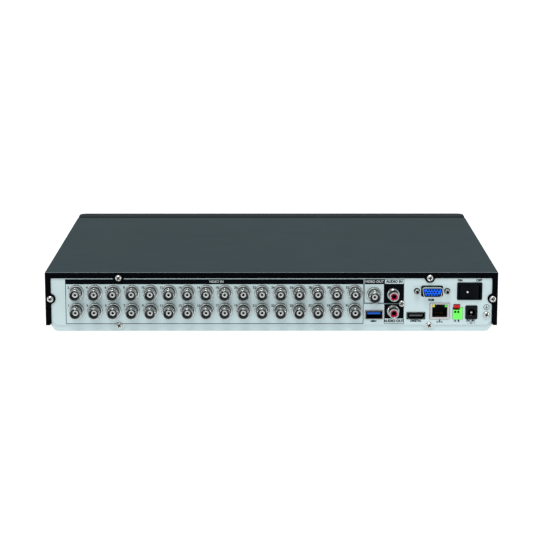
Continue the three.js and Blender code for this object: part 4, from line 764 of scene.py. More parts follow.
class Print:
    """Flat ink on the rear plate, one object for each colour."""

    def __init__(self):
        self.shapes = {key: Shape(M[key]) for key in ("ink", "grey_ink", "white_ink")}

    def area(self, key, outlines, layer=1):
        top = PY - INK * (layer - 1)
        self.shapes[key].mesh(flat_mesh(outlines, INK, 0.0), matrix=facing(top - INK, INK))

    def rect(self, key, x0, x1, z0, z1, layer=1, r=0.05, holes=()):
        self.area(key, [round_rect(x0, x1, z0, z1, r, 2)] + list(holes), layer)

    def text(self, key, words, x, z, size, layer=1, bold=0.0):
        mesh = letters(words, size, bold)
        place = Matrix.Translation((x, PY - INK * layer + 0.008, z))
        self.shapes[key].mesh(mesh, matrix=place @ Matrix.Rotation(math.pi / 2, 4, "X"))

    def build(self):
        for key, shape in self.shapes.items():
            shape.build(f"plate_print_{key}", slot="zinc_plate")


def labels(ink):
    """Bands, frames and captions round the coaxial sockets and the phono jacks."""
    left, right = COLUMNS[0] - 9.0, OUT.x - 8.8
    label0, label1 = HIGH_Z + 6.9, HIGH_Z + 11.2
    line = 0.5
    bottom = TRAY.z0 + 6.3
    audio0, audio1 = OUT.x + 8.4, AUDIO[0].x + 8.9
    frame_hole = round_rect(left + line, right - line, bottom + line, label0, 0.05, 2)
    ink.rect("ink", left, right, bottom, label1, holes=[frame_hole])
    ink.text("white_ink", "VIDEO IN", (left + right) / 2 + 1.6, (label0 + label1) / 2, 2.85, 2)
    mid_z = (LOW_Z + HIGH_Z) / 2 - 1.6
    ink.rect("ink", right + 0.5, audio0, mid_z, label1,
             holes=[round_rect(right + 0.95, audio0 - line, mid_z + line, label0, 0.05, 2)])
    ink.text("white_ink", "VIDEO OUT", OUT.x, (label0 + label1) / 2, 2.9, 2, 0.01)
    ink.rect("grey_ink", right, audio1, mid_z - 0.6, mid_z - 0.05, layer=2)
    rings = [circle(a.x, a.z, PHONO_HOLE - 0.05, 40) for a in AUDIO]
    screw = Place("audio_screw")
    rings.append(circle(screw.x, screw.z, 1.8, 20))
    ink.rect("ink", audio0, audio1, AUDIO[0].z - 6.3, label0, holes=rings)
    for words, z0, z1 in (("AUDIO IN", label0, label1), ("AUDIO OUT", bottom, AUDIO[0].z - 6.3)):
        ink.rect("ink", audio0, audio1, z0, z1,
                 holes=[round_rect(audio0 + 0.35, audio1 - 0.35, z0 + 0.35, z1 - 0.35, 0.05, 2)])
        ink.text("ink", words, (audio0 + audio1) / 2, (z0 + z1) / 2, 3.0, 1, 0.17)
    for n, x in enumerate(COLUMNS):
        for row, z in ((2, HIGH_Z), (1, LOW_Z)):
            ink.text("ink", str(2 * n + row), x - 6.5, z + 4.1, 2.7, 1, 0.1)


def captions(ink):
    """Words under and over the right-hand ports."""
    for words, x, z, size in (
            ("ON", SWITCH.x0 + 2.4, SWITCH.z1 + 1.6, 2.5), ("OFF", SWITCH.x1 - 2.8, SWITCH.z1 + 1.6, 2.7),
            ("RGB", VGA.x - 0.6, VGA.z0 - 1.3, 2.5), ("DIGITAL", DIG.x, DIG.z0 - 1.5, 2.4),
            ("A  B", TERM.x - 0.6, TERM.z0 - 1.5, 2.4), ("DC IN", DC.x - 0.6, DC.z0 - 1.4, 2.4)):
        ink.text("ink", words, x, z, size, 1, 0.17)


def pictograms(ink):
    """A plug, a network, the inlet's polarity and the earth sign."""
    x, z = USB.x, USB.z0 - 1.7
    ink.rect("ink", x - 2.3, x + 0.6, z - 0.75, z + 0.75, r=0.3)
    ink.rect("ink", x + 0.6, x + 2.1, z - 0.5, z + 0.5)
    ink.rect("ink", x - 3.7, x - 2.3, z - 0.2, z + 0.2)
    x, z = LAN.x, LAN.z0 - 1.6
    ink.rect("ink", x - 0.65, x + 0.65, z + 0.25, z + 1.15)
    ink.rect("ink", x - 0.15, x + 0.15, z - 0.5, z + 0.3)
    for step in (-1.9, 0, 1.9):
        ink.rect("ink", x + step - 0.65, x + step + 0.65, z - 1.35, z - 0.5)
    ink.rect("ink", x - 2.1, x + 2.1, z - 0.25, z + 0.0)
    x, z = DC.x, DC.z0 - 3.4
    ink.area("ink", [circle(x, z, 0.85, 20), circle(x, z, 0.55, 20)])
    ink.area("ink", [circle(x, z, 0.3, 12)])
    for side in (-1, 1):
        ink.rect("ink", x + side * 1.5 - 0.75, x + side * 1.5 + 0.75, z - 0.13, z + 0.13, r=0.02)
    ink.text("ink", "-", x - 2.9, z, 2.2, 1, 0.06)
    ink.text("ink", "+", x + 2.9, z, 2.2, 1, 0.06)
    ground = Place("ground_screw")
    x, z = ground.x, ground.z + 6.3
    ink.area("ink", [circle(x, z, 2.5, 32), circle(x, z, 2.05, 32)])
    ink.rect("ink", x - 0.24, x + 0.24, z + 0.1, z + 1.6)
    for n, half in enumerate((1.35, 0.9, 0.45)):
        ink.rect("ink", x - half, x + half, z - 0.25 - 0.7 * n, z + 0.15 - 0.7 * n)


def printing():
    ink = Print()
    labels(ink)
    captions(ink)
    pictograms(ink)
    ink.build()


rear_plate()
printing()

# ------------------------------------------------------------------ screws and feet


def screw(node, thread=5.0):
    place = Place(node)
    seat = place.y0 + 1.9
    head = [(0, 1.9), (1.2, 1.88), (2.0, 1.7), (2.55, 1.3), (2.78, 0.7), (2.8, 0.0), (1.45, 0.0)]
    for n in range(8):
        y = -0.3 - n * thread / 8
        head += [(1.5, y), (1.28, y - 0.3)]
    head += [(1.2, -thread), (0, -thread)]
    shape = Shape(M["screw"])
    shape.lathe(head, place.x, place.z, seat, 40)
    obj = shape.build("pan_head_" + node, node=node, slot="screw_zinc", angle=50)
    obj.data.materials.append(M["recess"])
    # The cross recess is cut with the near-black recess material: painted shade.
    cutter = Shape(M["screw"], M["recess"])
    turn = math.radians((hash_of(node) % 80) - 40)
    for extra in (0, math.pi / 2):
        a = turn + extra
        u, v = Vector((math.cos(a), math.sin(a))), Vector((-math.sin(a), math.cos(a)))
        corners = [(2.0, 0.52), (-2.0, 0.52), (-2.0, -0.52), (2.0, -0.52)]
        rim = [(place.x + u.x * p + v.x * q, place.z + u.y * p + v.y * q) for p, q in corners]
        deep = [(place.x + u.x * p * 0.4 + v.x * q * 0.7, place.z + u.y * p * 0.4 + v.y * q * 0.7)
                for p, q in corners]
        cutter.loft([(rim, seat - 2.4), (rim, seat - 2.3), (deep, seat - 0.5)], mat=M["recess"])
    return carve(obj, cutter)


def hash_of(text):
    total = 7
    for char in text:
        total = (total * 31 + ord(char)) % 9973
    return total


for name in ("cover_screw_top_left", "cover_screw_top_right", "cover_screw_side_left",
             "cover_screw_side_right", "panel_screw_left", "panel_screw_right", "audio_screw",
             "ground_screw"):
    screw(name)

for name in ("foot_rear_left", "foot_rear_right", "foot_front_left", "foot_front_right"):
    place = Place(name)
    rings = [(0, 0.35), (2.2, 0.35), (2.6, 0.0), (4.4, 0.0), (4.6, 0.35), (5.2, 0.35), (5.4, 0.0),
             (6.9, 0.0), (7.6, 0.3), (7.98, 1.0), (7.98, place.h - 0.3), (7.8, place.h), (0, place.h)]
    shape = Shape(M["rubber"])
    shape.lathe(rings, place.x, 0, place.y, 48, along="z")
    shape.build("rubber_" + name, node=name, slot="foot_rubber", angle=50)

# ------------------------------------------------------------------ coaxial sockets


def bnc_front(shape, x, z, y=PY):
    """Collar, neck, threads, bayonet barrel with its two lugs, and the bore."""
    # The bore, the inside of the collar and the threads take the darker nickel: painted shade.
    collar = [(0, -2.6), (6.15, -2.6), (6.15, 1.55), (6.0, 1.85), (5.7, 2.0), (5.35, 2.0),
              (5.25, 1.8), (5.1, 1.2), (4.2, 1.2), (0, 1.2)]
    shape.lathe(collar, x, z, y, 40, mat=M["collar"], inner=(7, M["bore"]))
    neck = [(0, 1.0), (4.5, 1.0), (4.5, 2.7)]
    for n in range(6):
        d = 2.8 + n * 0.62
        neck += [(4.8, d + 0.12), (4.8, d + 0.3), (4.45, d + 0.46), (4.45, d + 0.6)]
    neck += [(4.4, 6.7), (0, 6.7)]
    shape.lathe(neck, x, z, y, 40, mat=M["bore"])
    barrel = [(3.2, 6.6), (4.5, 6.6), (4.78, 7.0), (4.8, 7.3), (4.8, 12.75), (4.72, 13.05),
              (4.5, 13.4), (4.35, 13.5), (4.24, 13.46), (4.1, 13.2)]
    inside = [(4.05, 13.0), (4.05, 8.2), (3.9, 8.0), (3.3, 8.0), (3.2, 7.8), (3.2, 6.6)]
    shape.lathe(barrel + inside, x, z, y, 40, inner=(len(barrel), M["bore"]))
    for side in ("z", "-z"):
        shape.lathe([(0, 4.5), (1.0, 4.5), (1.0, 5.25), (0.85, 5.45), (0, 5.5)], x, z, y - 8.9, 16,
                    along=side)


def bnc_pin(shape, x, z, rear, y=PY):
    """The white insulator with the contact deep inside it."""
    profile = [(0, -rear), (2.4, -rear), (2.4, 10.0), (2.25, 10.25), (2.05, 10.3), (1.3, 10.3),
               (1.12, 10.2)]
    # The hole in the insulator is drawn black inside: painted shade.
    hollow = [(1.05, 9.9), (1.05, 6.6), (0, 6.6)]
    shape.lathe(profile + hollow, x, z, y, 28, mat=M["white"], inner=(len(profile), M["black"]))
    sleeve = [(0.7, 6.5), (1.0, 6.5), (1.0, 7.3), (0.9, 7.4), (0.8, 7.4), (0.7, 7.3), (0.7, 6.5)]
    shape.lathe(sleeve, x, z, y, 20, mat=M["gold"])


for number, bank in enumerate(BANKS, 1):
    ports = [(bank.x + (n - 1.5) * PITCH, z) for n in range(4) for z in (LOW_Z, HIGH_Z)]
    shape = Shape(M["nickel"], M["steel"], M["bore"], M["collar"])
    shape.box(bank.x0, bank.x1, BEHIND, bank.y1, bank.z0, bank.z1, 0.6, M["steel"], 3)
    for x, z in ports:
        bnc_front(shape, x, z)
    for n in range(3):
        # draft grooves between the bodies of one casting
        x = bank.x + (n - 1) * PITCH
        shape.box(x - 0.5, x + 0.5, PY + 6, bank.y1 - 3, bank.z1 - 0.3, bank.z1 + 0.0, 0.1,
                  M["steel"])
    shape.build(f"coaxial_bank_{number}", node=f"video_in_bank_{number}", slot="nickel")
    comb = Place(f"video_in_insulators_{number}")
    shape = Shape(M["white"], M["gold"], M["black"])
    shape.box(comb.x0, comb.x1, bank.y1 + 0.1, comb.y1, comb.z0, comb.z1, 0.4, M["white"])
    for x, z in ports:
        bnc_pin(shape, x, z, comb.y1 - PY - 0.5)
    shape.build(f"coaxial_insulators_{number}", node=f"video_in_insulators_{number}",
                slot="white_plastic")

shape = Shape(M["nickel"], M["steel"], M["bore"], M["collar"])
shape.box(OUT.x0, OUT.x1, BEHIND, OUT.y1, OUT_Z - 7.3, OUT.z1, 0.6, M["steel"], 3)
shape.box(OUT.x0, OUT.x1, PY + 17.1, OUT.y1, OUT.z0, OUT_Z - 6.8, 0.5, M["steel"], 2)
bnc_front(shape, OUT.x, OUT_Z)
shape.build("coaxial_output", node="video_out_shell", slot="nickel")
pin = Place("video_out_insulator")
shape = Shape(M["white"], M["gold"], M["black"])
bnc_pin(shape, OUT.x, OUT_Z, pin.y1 - PY)
shape.build("coaxial_output_insulator", node="video_out_insulator", slot="white_plastic")

# ------------------------------------------------------------------ phono jacks

refined("audio_housing", "phono_housing", M["black"], 0.35, slot="black_plastic")
for way, place in zip(("out", "in"), AUDIO):
    shape = Shape(M["nickel"])
    shape.lathe(
        [(3.42, -6.3), (5.1, -6.3), (5.15, 1.2), (5.05, 1.5), (4.8, 1.6), (4.4, 1.6), (4.2, 1.75),
         (4.15, 2.1), (4.15, 10.9), (4.05, 11.25), (3.85, 11.45), (3.55, 11.5), (3.2, 11.45),
         (2.98, 11.3), (2.95, 11.12), (3.42, 11.1), (3.42, -6.3)], place.x, place.z, sides=48)
    shape.build(f"phono_{way}_collar", node=f"audio_{way}_collar", slot="nickel")
    shape = Shape(M["crimson"], M["nickel"], M["black"])
    face = [(0, -6.0), (3.26, -6.0), (3.26, 9.4), (2.85, 9.6), (2.83, 10.75), (2.7, 11.02),
            (2.45, 11.1), (2.15, 10.98), (1.9, 10.5)]
    # The hole in the insert is drawn black inside: painted shade.
    hollow = [(1.85, 10.1), (1.8, 2.6), (0, 2.6)]
    shape.lathe(face + hollow, place.x, place.z, sides=40, inner=(len(face), M["black"]))
    shape.lathe([(1.3, 2.5), (1.57, 2.5), (1.57, 5.1), (1.45, 5.25), (1.35, 5.2), (1.3, 5.0),
                 (1.3, 2.5)], place.x, place.z, sides=28, mat=M["nickel"])
    shape.build(f"phono_{way}_insert", node=f"audio_{way}_insert", slot="crimson_plastic")

# ------------------------------------------------------------------ box-shaped sockets


def tongue_contacts(shape, middle, reach, count, y0, y1, z, up=False):
    """A row of flat contacts on a tongue's upper or lower face."""
    for n in range(count):
        x = middle + reach * (2 * (n + 0.5) / count - 1)
        half = 0.6 * reach / count
        shape.box(x - half, x + half, y0, y1, z - (0 if up else 0.12), z + (0.12 if up else 0), 0.03,
                  M["gold"], 1)


shape = Shape(M["steel"], M["black"])
# The steel shell is drawn black inside: painted shade.
shape.shell(hole(USB, 0, 0.7),
            round_rect(USB.x0 + 0.45, USB.x1 - 0.45, USB.z0 + 0.4, USB.z1 - 0.4, 0.3),
            USB.y0, USB.y1, depth=USB.y1 - 0.6, inside=M["black"])
shape.build("usb_folded_shell", node="usb_shell", slot="nickel")
tongue = Place("usb_tongue")
shape = Shape(M["usb_blue"], M["gold"], M["black"])
shape.box(tongue.x0, tongue.x1, tongue.y1 - 2, tongue.y1, tongue.z0, tongue.z1, 0.15,
          M["black"])
top = USB.z + 1.95
shape.box(USB.x - 5.6, USB.x + 5.6, tongue.y0, tongue.y1 - 1.5, top - 1.9, top, 0.3,
          M["usb_blue"], 3)
tongue_contacts(shape, USB.x, 4.6, 4, tongue.y0 + 1.2, tongue.y1 - 2.5, top - 1.9)
shape.build("usb_blue_tongue", node="usb_tongue", slot="blue_tongue")


def six_sided(place, inset):
    x, z, chamfer = place.w / 2 - inset, place.h / 2 - inset, 1.7
    half = [(x - chamfer, -z), (x, -z + chamfer), (x, z - 0.5)]
    half += swing(x - 0.5, z - 0.5, 0.5, 0, 90, 3)
    return [(place.x + a, place.z + b) for a, b in half] + [
        (place.x - a, place.z + b) for a, b in reversed(half)]


# The shell is drawn black inside: painted shade.
shape = Shape(M["bore"], M["black"])
shape.shell(six_sided(DIG, 0), six_sided(DIG, 0.4), DIG.y0, DIG.y1, depth=DIG.y1 - 0.6,
            inside=M["black"])
shape.build("digital_folded_shell", node="digital_video_shell", slot="nickel")
tongue = Place("digital_video_tongue")
shape = Shape(M["black"], M["gold"], M["tongue_grey"])
shape.prism(six_sided(DIG, 0.72), tongue.y1 - 2, tongue.y1, 0.1)
shape.box(DIG.x - 5.7, DIG.x + 5.7, tongue.y0, tongue.y1 - 1.5, DIG.z - 0.75, DIG.z + 0.75, 0.2,
          M["tongue_grey"])
for reach, count, side in ((5.2, 10, 1), (4.8, 9, -1)):
    tongue_contacts(shape, DIG.x, reach, count, tongue.y0 + 0.6, tongue.y1 - 2.2,
                    DIG.z + side * 0.75, up=side > 0)
shape.build("digital_tongue", node="digital_video_tongue", slot="black_plastic")

# ------------------------------------------------------------------ monitor socket


def dee(inset, corner=1.9):
    """The socket's D outline: wide above, leaning in below, well rounded."""
    top, z, lean = 8.4 - inset, 4.1 - inset, 0.9
    r = corner - inset * 0.6
    half = [(0, -z)] + swing(top - lean - r, -z + r, r, -90, 6, 6)
    half += swing(top - r, z - r, r, 6, 90, 6)
    right = [(VGA.x + a, VGA.z + b) for a, b in half[1:]]
    return right + [(2 * VGA.x - a, b) for a, b in reversed(right)]


shape = Shape(M["collar"], M["black"], M["recess"])
# The shell is drawn black inside: painted shade.
shape.shell(dee(0), dee(0.45), VGA.y0, PY + 2.1, inside=M["black"])
# The flange behind the plate takes the near-black recess material: painted shade in the gap round the
# shell.
flange = [round_rect(VGA.x - 15.5, VGA.x + 15.5, VGA.z - 6.2, VGA.z + 6.2, 1.2, 5), dee(0.5)]
flange += [circle(n.x, n.z, 1.5, 20) for n in NUTS]
shape.mesh(flat_mesh(flange, 1.0, 0.0), M["recess"], facing(BEHIND, 1.0))
shape.build("monitor_socket_shell", node="vga_shell", slot="nickel")

block = Place("vga_insulator")
shape = Shape(M["vga_blue"], M["black"])
shape.prism(dee(1.25), block.y0, PY + 3.2, 0.2)
# A black D just round the blue insulator: painted shade in the gap inside the shell.
shape.prism(dee(0.62), block.y0 + 3.5, PY + 3.3, 0.1, M["black"])
shape.box(block.x0, block.x1, PY + 2.2, block.y1, VGA.z - 5.5, VGA.z + 5.5, 0.3, M["black"])
shape.box(VGA.x - 8.4, VGA.x - 3.2, block.y1 - 4, block.y1, block.z0, VGA.z - 5, 0.3, M["black"])
obj = shape.build("monitor_socket_insulator", node="vga_insulator", slot="blue_insulator")
# The pin holes and the jackscrew holes are cut with black faces: painted shade.
cutter = Shape(M["vga_blue"], M["black"])
reach = PY - block.y0
for row in (-1, 0, 1):
    for n in range(5):
        x = VGA.x + (n - 2) * 2.29 + (-0.6 if row == 0 else 0.5)
        profile = [(0, -1), (0.6, -1), (0.6, reach - 0.25), (0.85, reach + 0.1), (0.85, 9), (0, 9)]
        cutter.lathe(profile, x, VGA.z + row * 1.98, sides=16, mat=M["black"])
for nut in NUTS:
    cutter.lathe([(0, -30), (1.6, -30), (1.6, 5), (0, 5)], nut.x, nut.z, sides=16, mat=M["black"])
carve(obj, cutter)

for side, nut in zip(("left", "right"), NUTS):
    shape = Shape(M["nickel"], M["black"])
    shape.prism(circle(nut.x, nut.z, 2.38, 6), nut.y0 + 0.3, PY + 1.0, 0.22)
    shape.lathe([(1.25, -1.0), (2.0, -1.0), (2.0, 4.7), (1.9, 4.8), (1.5, 4.8), (1.3, 4.6),
                 (1.25, -1.0)], nut.x, nut.z, sides=32)
    shape.lathe([(0, -15.7), (1.1, -15.7), (1.2, -15.4), (1.2, -0.9), (0, -0.9)], nut.x, nut.z,
                sides=24)
    obj = shape.build(f"hexagonal_jackscrew_{side}", node=f"vga_jackscrew_{side}", slot="nickel")
    # The screw's bore is cut with black faces: painted shade.
    cutter = Shape(M["nickel"], M["black"])
    cutter.lathe([(0, 0.9), (1.25, 0.9), (1.25, 9), (0, 9)], nut.x, nut.z, sides=24, mat=M["black"])
    carve(obj, cutter)

# ------------------------------------------------------------------ network socket

shape = Shape(M["steel"])
shape.shell(hole(LAN, 0, 0.5, 3), hole(LAN, -0.5, 0.2, 3), LAN.y0 + 0.05, LAN.y1,
            depth=LAN.y1 - 0.5)
window = (LAN.x - 6.3, LAN.x + 6.3, LAN.z0 + 1.8, LAN.z0 + 12.6)
lamps = [LAN.x - 5.2, LAN.x + 5.2]
front = [hole(LAN, 0, 0.5, 3), round_rect(*window, 0.3, 3)]
shape.mesh(flat_mesh(front, 0.4, 0.05), matrix=facing(LAN.y0, 0.4))
for side in (-1, 1):
    shape.box(LAN.x + side * 3.0 - 0.25, LAN.x + side * 3.0 + 0.25, LAN.y0 + 0.45, LAN.y0 + 3.4,
              window[3] - 0.7, window[3] - 0.4, 0.1)
shape.build("network_folded_shell", node="lan_shell", slot="nickel")
insert = Place("lan_insert")
mouth = max(insert.y0, LAN.y0 + 0.42)
shape = Shape(M["black"], M["gold"], M["led_green"], M["led_amber"])
floor = window[2] + 0.2
top = window[3] - 0.2
cavity = [(-5.95, floor), (5.95, floor), (5.95, top - 2.6), (3.1, top - 2.6), (3.1, top),
          (-3.1, top), (-3.1, top - 2.6), (-5.95, top - 2.6)]
outline = [(insert.x0, insert.z0), (insert.x1, insert.z0), (insert.x1, insert.z1),
           (insert.x0, insert.z1)]
front = flat_mesh([outline, [(LAN.x + a, b) for a, b in cavity]], 13.6, 0.0)
shape.mesh(front, matrix=facing(mouth, 13.6))
shape.box(insert.x0, insert.x1, mouth + 13.5, insert.y1, insert.z0, insert.z1, 0.1, M["black"])
for n in range(8):
    x = LAN.x + (n - 3.5) * 1.02
    shape.box(x - 0.2, x + 0.2, mouth + 3, mouth + 12, floor, floor + 0.35, 0.05, M["gold"], 1)
    shape.box(x - 0.2, x + 0.2, mouth + 11, mouth + 12.5, floor + 0.2, floor + 1.6, 0.05, M["gold"], 1)
for x, key in zip(lamps, ("led_amber", "led_green")):
    shape.box(x - 1.0, x + 1.0, mouth - 0.25, mouth + 1, top - 2.2, top + 0.05, 0.2, M[key], 3)
shape.build("network_socket_insert", node="lan_insert", slot="black_plastic")

# ------------------------------------------------------------------ terminal block

obj = refined("terminal_block", "push_terminal_block", M["green"], 0.22, slot="terminal_green")
obj.data.materials.append(M["black"])
for poly in obj.data.polygons:  # the wire holes are painted black inside: painted shade
    x, y, z = poly.center / MM
    deep = y > TERM.y0 + 0.35 and TERM.z0 + 0.5 < z < TERM.z1 - 0.1
    if deep and min(abs(x - lever.x) for lever in LEVERS) < 1.3 and abs(z - TERM.z1 + 3.6) < 1.3:
        poly.material_index = 1
for way, lever in zip("ab", LEVERS):
    node = f"terminal_lever_{way}"
    shape = rounded(node, M["red"], 0.22, math.degrees(0.6), 3)
    for n in range(3):  # grip ribs
        y = lever.y0 + 1.5 + n * 0.7
        rise = lever.z1 - 0.02 - (y - lever.y0 - 1.2) * 0.21
        shape.box(lever.x0 + 0.35, lever.x1 - 0.35, y, y + 0.35, rise - 0.5, rise - 0.02, 0.1)
    shape.build(f"red_lever_{way}", node=node, body=f"release_lever_{way}", slot="lever_red")

# ------------------------------------------------------------------ power inlet and switch


def middle_rect(place, width, height, r):
    return round_rect(place.x - width / 2, place.x + width / 2, place.z - height / 2,
                      place.z + height / 2, r, 6)


def surface_y(node, x, z):
    """Where a ray from behind first meets a node."""
    bm = bmesh.new()
    bm.from_mesh(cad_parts[node].data)
    tree = BVHTree.FromBMesh(bm)
    bm.free()
    return tree.ray_cast(Vector((x, -400, z)) * MM, Vector((0, 1, 0)))[0].y / MM


shape = Shape(M["black"])
shape.prism(hole(DC, 0, 1.5, 6), DC.y0, DC.y1, 0.35, segs=3)
obj = shape.build("power_inlet_barrel", node="power_inlet_housing", slot="black_plastic")
cutter = Shape(M["black"])
mouth = PY - DC.y0
cutter.lathe([(0, -9.5), (3.2, -9.5), (3.2, mouth - 0.3), (3.5, mouth + 0.05), (3.5, mouth + 2),
              (0, mouth + 2)], DC.x, DC.z, sides=48)
cutter.lathe([(0, -15), (1.25, -15), (1.25, 0), (0, 0)], DC.x, DC.z, sides=20)
carve(obj, cutter)
shape = Shape(M["nickel"])
pin = Place("power_inlet_pin")
shape.lathe([(0, -14), (0.98, -14), (0.98, -0.35), (0.85, -0.1), (0.6, 0), (0, 0)], pin.x, pin.z,
            sides=28)
shape.box(DC.x - 0.9, DC.x + 0.9, DC.y0 + 2.4, DC.y0 + 8.5, DC.z - 3.15, DC.z - 2.75, 0.12)
shape.build("power_inlet_centre_pin", node="power_inlet_pin", slot="nickel")

shape = Shape(M["switch"])
lip = middle_rect(SWITCH, SWITCH.w, SWITCH.h, 1.3)
body = middle_rect(SWITCH, 18.9, 12.8, 0.6)
well = middle_rect(SWITCH, 17.6, 11.8, 0.5)
shape.loft([(body, SWITCH.y1), (body, PY - 0.1), (lip, PY - 0.1), (lip, PY - 0.5),
            (shrink(lip, 0.12), PY - 0.7), (shrink(lip, 1.2), SWITCH.y0 + 0.05),
            (shrink(lip, 1.32), SWITCH.y0), (shrink(well, -0.1), SWITCH.y0),
            (well, SWITCH.y0 + 0.12), (well, PY + 9.5)])
shape.build("rocker_switch_housing", node="power_switch_housing", slot="black_plastic")
refined("power_switch_rocker", "rocker_cap", M["switch"], 0.45, segs=3, body="power_rocker",
        slot="black_plastic")
shape = Shape(M["white_ink"])
x, z = SWITCH.x - 1.85, SWITCH.z - 0.57
y = surface_y("power_switch_rocker", x, z)
shape.lathe([(0, -0.1), (0.75, -0.1), (0.75, 0.02), (0.68, 0.05), (0, 0.05)], x, z, y, 24)
shape.build("rocker_dot", body="power_rocker", slot="white_plastic")

# ------------------------------------------------------------------ front bezel

obj = refined("front_bezel", "moulded_front_bezel", M["bezel"], 0.5, angle=30, segs=3,
              slot="bezel_plastic")
window = Place("indicator_window")
shape = Shape(M["window"])
shape.prism(hole(window, 0), window.y0, window.y1, 0.25, segs=3)
shape.build("smoked_window", node="indicator_window", slot="window_plastic")
u = Place("front_usb_socket")
shape = Shape(M["steel"], M["black"], M["gold"])
shape.shell(hole(u, 0, 0.7), hole(u, -0.6, 0.3), -u.y1, -u.y0, depth=-u.y0 - 0.6)
mirror = Matrix.Diagonal((1, -1, 1, 1))  # the shell opens to the front
bmesh.ops.transform(shape.bm, matrix=mirror, verts=list(shape.bm.verts))
bmesh.ops.reverse_faces(shape.bm, faces=list(shape.bm.faces))
shape.box(u.x - 5.6, u.x + 5.6, u.y0 + 1, u.y1 - 2.0, u.z + 0.05, u.z + 1.95, 0.25, M["black"])
tongue_contacts(shape, u.x, 4.6, 4, u.y0 + 3, u.y1 - 3, u.z + 0.05)
shape.build("front_usb_shell", node="front_usb_socket", slot="nickel")

# ------------------------------------------------------------------ inside the case


def on_board(x, y, w, d, h, bevel=0.15, mat=M["chip"]):
    """A part of the main board, soldered on its upper face."""
    shape.box(x - w / 2, x + w / 2, y - d / 2, y + d / 2, top, top + h, bevel, mat, 2)


holes = [circle(column * (BOARD.x1 - 8), BOARD.y0 + row * BOARD.d, 1.8, 20)
         for column in (-1, 0, 1) for row in (0.12, 0.9)]
shape = Shape(M["board"], M["chip"], M["sleeve"], M["lid"], M["white"])
edge = round_rect(BOARD.x0, BOARD.x1, BOARD.y0, BOARD.y1, 0.6, 3)
plate = flat_mesh([edge] + holes, BOARD.h, 0.0)
shape.mesh(plate, matrix=Matrix.Translation((0, 0, BOARD.z)))
top = BOARD.z1
BOARD_ROWS = (30.55, 45.55, 38.55, 67.55)  # from the board's rear edge
back_row, chip_row, power_row, front_row = (BOARD.y0 + step for step in BOARD_ROWS)
for bank in BANKS:  # a decoder with its filters for each bank
    on_board(bank.x, chip_row, 12, 12, 1.6)
    for k in range(6):
        on_board(bank.x - 12 + k * 4.6, back_row, 1.6, 3.1, 1.1, mat=M["lid"])
capacitor = [(0, 0), (3.1, 0), (3.1, 9.4), (2.9, 9.8), (2.4, 9.9), (0, 9.8)]
for n in range(5):
    shape.lathe(capacitor, 108 + n * 12, top, front_row, 24, mat=M["sleeve"], along="z")
on_board(120, power_row, 12.5, 12.5, 6.5, 0.8)
on_board(150, power_row + 3, 20, 6, 1.2)
for n in range(4):
    on_board(-20 + n * 15, front_row, 11, 8, 1.1, 0.12)
shape.build("main_circuit_board", node="main_board", slot="board_green")
sink = Place("heatsink")
refined("heatsink", "finned_heatsink", M["sink"], 0.15, slot="sink_metal")

for name in ("hard_drive_1", "hard_drive_2"):
    drive = Place(name)
    obj = refined(name, "cast_" + name, M["drive"], 0.7, segs=3, slot="drive_metal")
    shape = Shape(M["lid"], M["screw"])
    shape.prism(round_rect(drive.x0 + 3, drive.x1 - 3, drive.y0 + 3, drive.y1 - 27, 4, 5),
                drive.z1 - 0.4, drive.z1, 0.12, plane="xy")
    shape.lathe([(0, 0), (11, 0), (11, 0.16), (10.5, 0.2), (0, 0.2)], drive.x, drive.z1 - 0.4,
                drive.y + 6, 40, along="z", mat=M["lid"])
    shape.build("lid_of_" + name, slot="drive_metal")

fan = Place("fan_frame")
shape = Shape(M["black"])
plate = flat_mesh(
    [round_rect(fan.y0, fan.y1, fan.z0, fan.z1, 3, 6), circle(fan.y, fan.z, 18.6, 56)]
    + [circle(fan.y + sy * 16, fan.z + sz * 16, 1.8, 20) for sy in (-1, 1) for sz in (-1, 1)],
    fan.w, 0.0)
spin = Matrix(((0, 0, 1, fan.x), (1, 0, 0, 0), (0, 1, 0, 0), (0, 0, 0, 1)))
shape.mesh(plate, matrix=spin)
for n in range(4):  # the arms that carry the motor
    made = bmesh.ops.create_cube(shape.bm, size=1)["verts"]
    arm = (Matrix.Translation((fan.x1 - 0.8, fan.y, fan.z))
           @ Matrix.Rotation(math.pi / 4 + n * math.pi / 2, 4, "X")
           @ Matrix.Translation((0, 13.6, 0)) @ Matrix.Diagonal((1.5, 11.4, 2.0, 1)))
    bmesh.ops.transform(shape.bm, matrix=arm, verts=made)
motor = [(0, 0), (9, 0), (9, 1.3), (8.6, 1.6), (0, 1.6)]
shape.lathe(motor, fan.x1 - 1.6, fan.z, fan.y, along="x")
shape.build("fan_housing", node="fan_frame", slot="black_plastic", angle=50)

HUB_RADIUS, BLADE_TIP = 9.2, 17.3
BLADES = 7
STEPS = 6


def blade_point(rotor, turn, i, j, half):
    """A point of a twisted blade: i runs out from the hub, j across, half to one side."""
    r = HUB_RADIUS + (BLADE_TIP - HUB_RADIUS) * i / STEPS
    t = 2 * j / STEPS - 1
    reach = t * rotor.w * 0.42
    twist = 0.78 - 0.25 * i / STEPS
    a = turn + (reach * twist + 0.9 * (1 - t * t)) / r + 0.05 * i + half / r
    return rotor.x - reach, rotor.y + r * math.cos(a), rotor.z + r * math.sin(a)


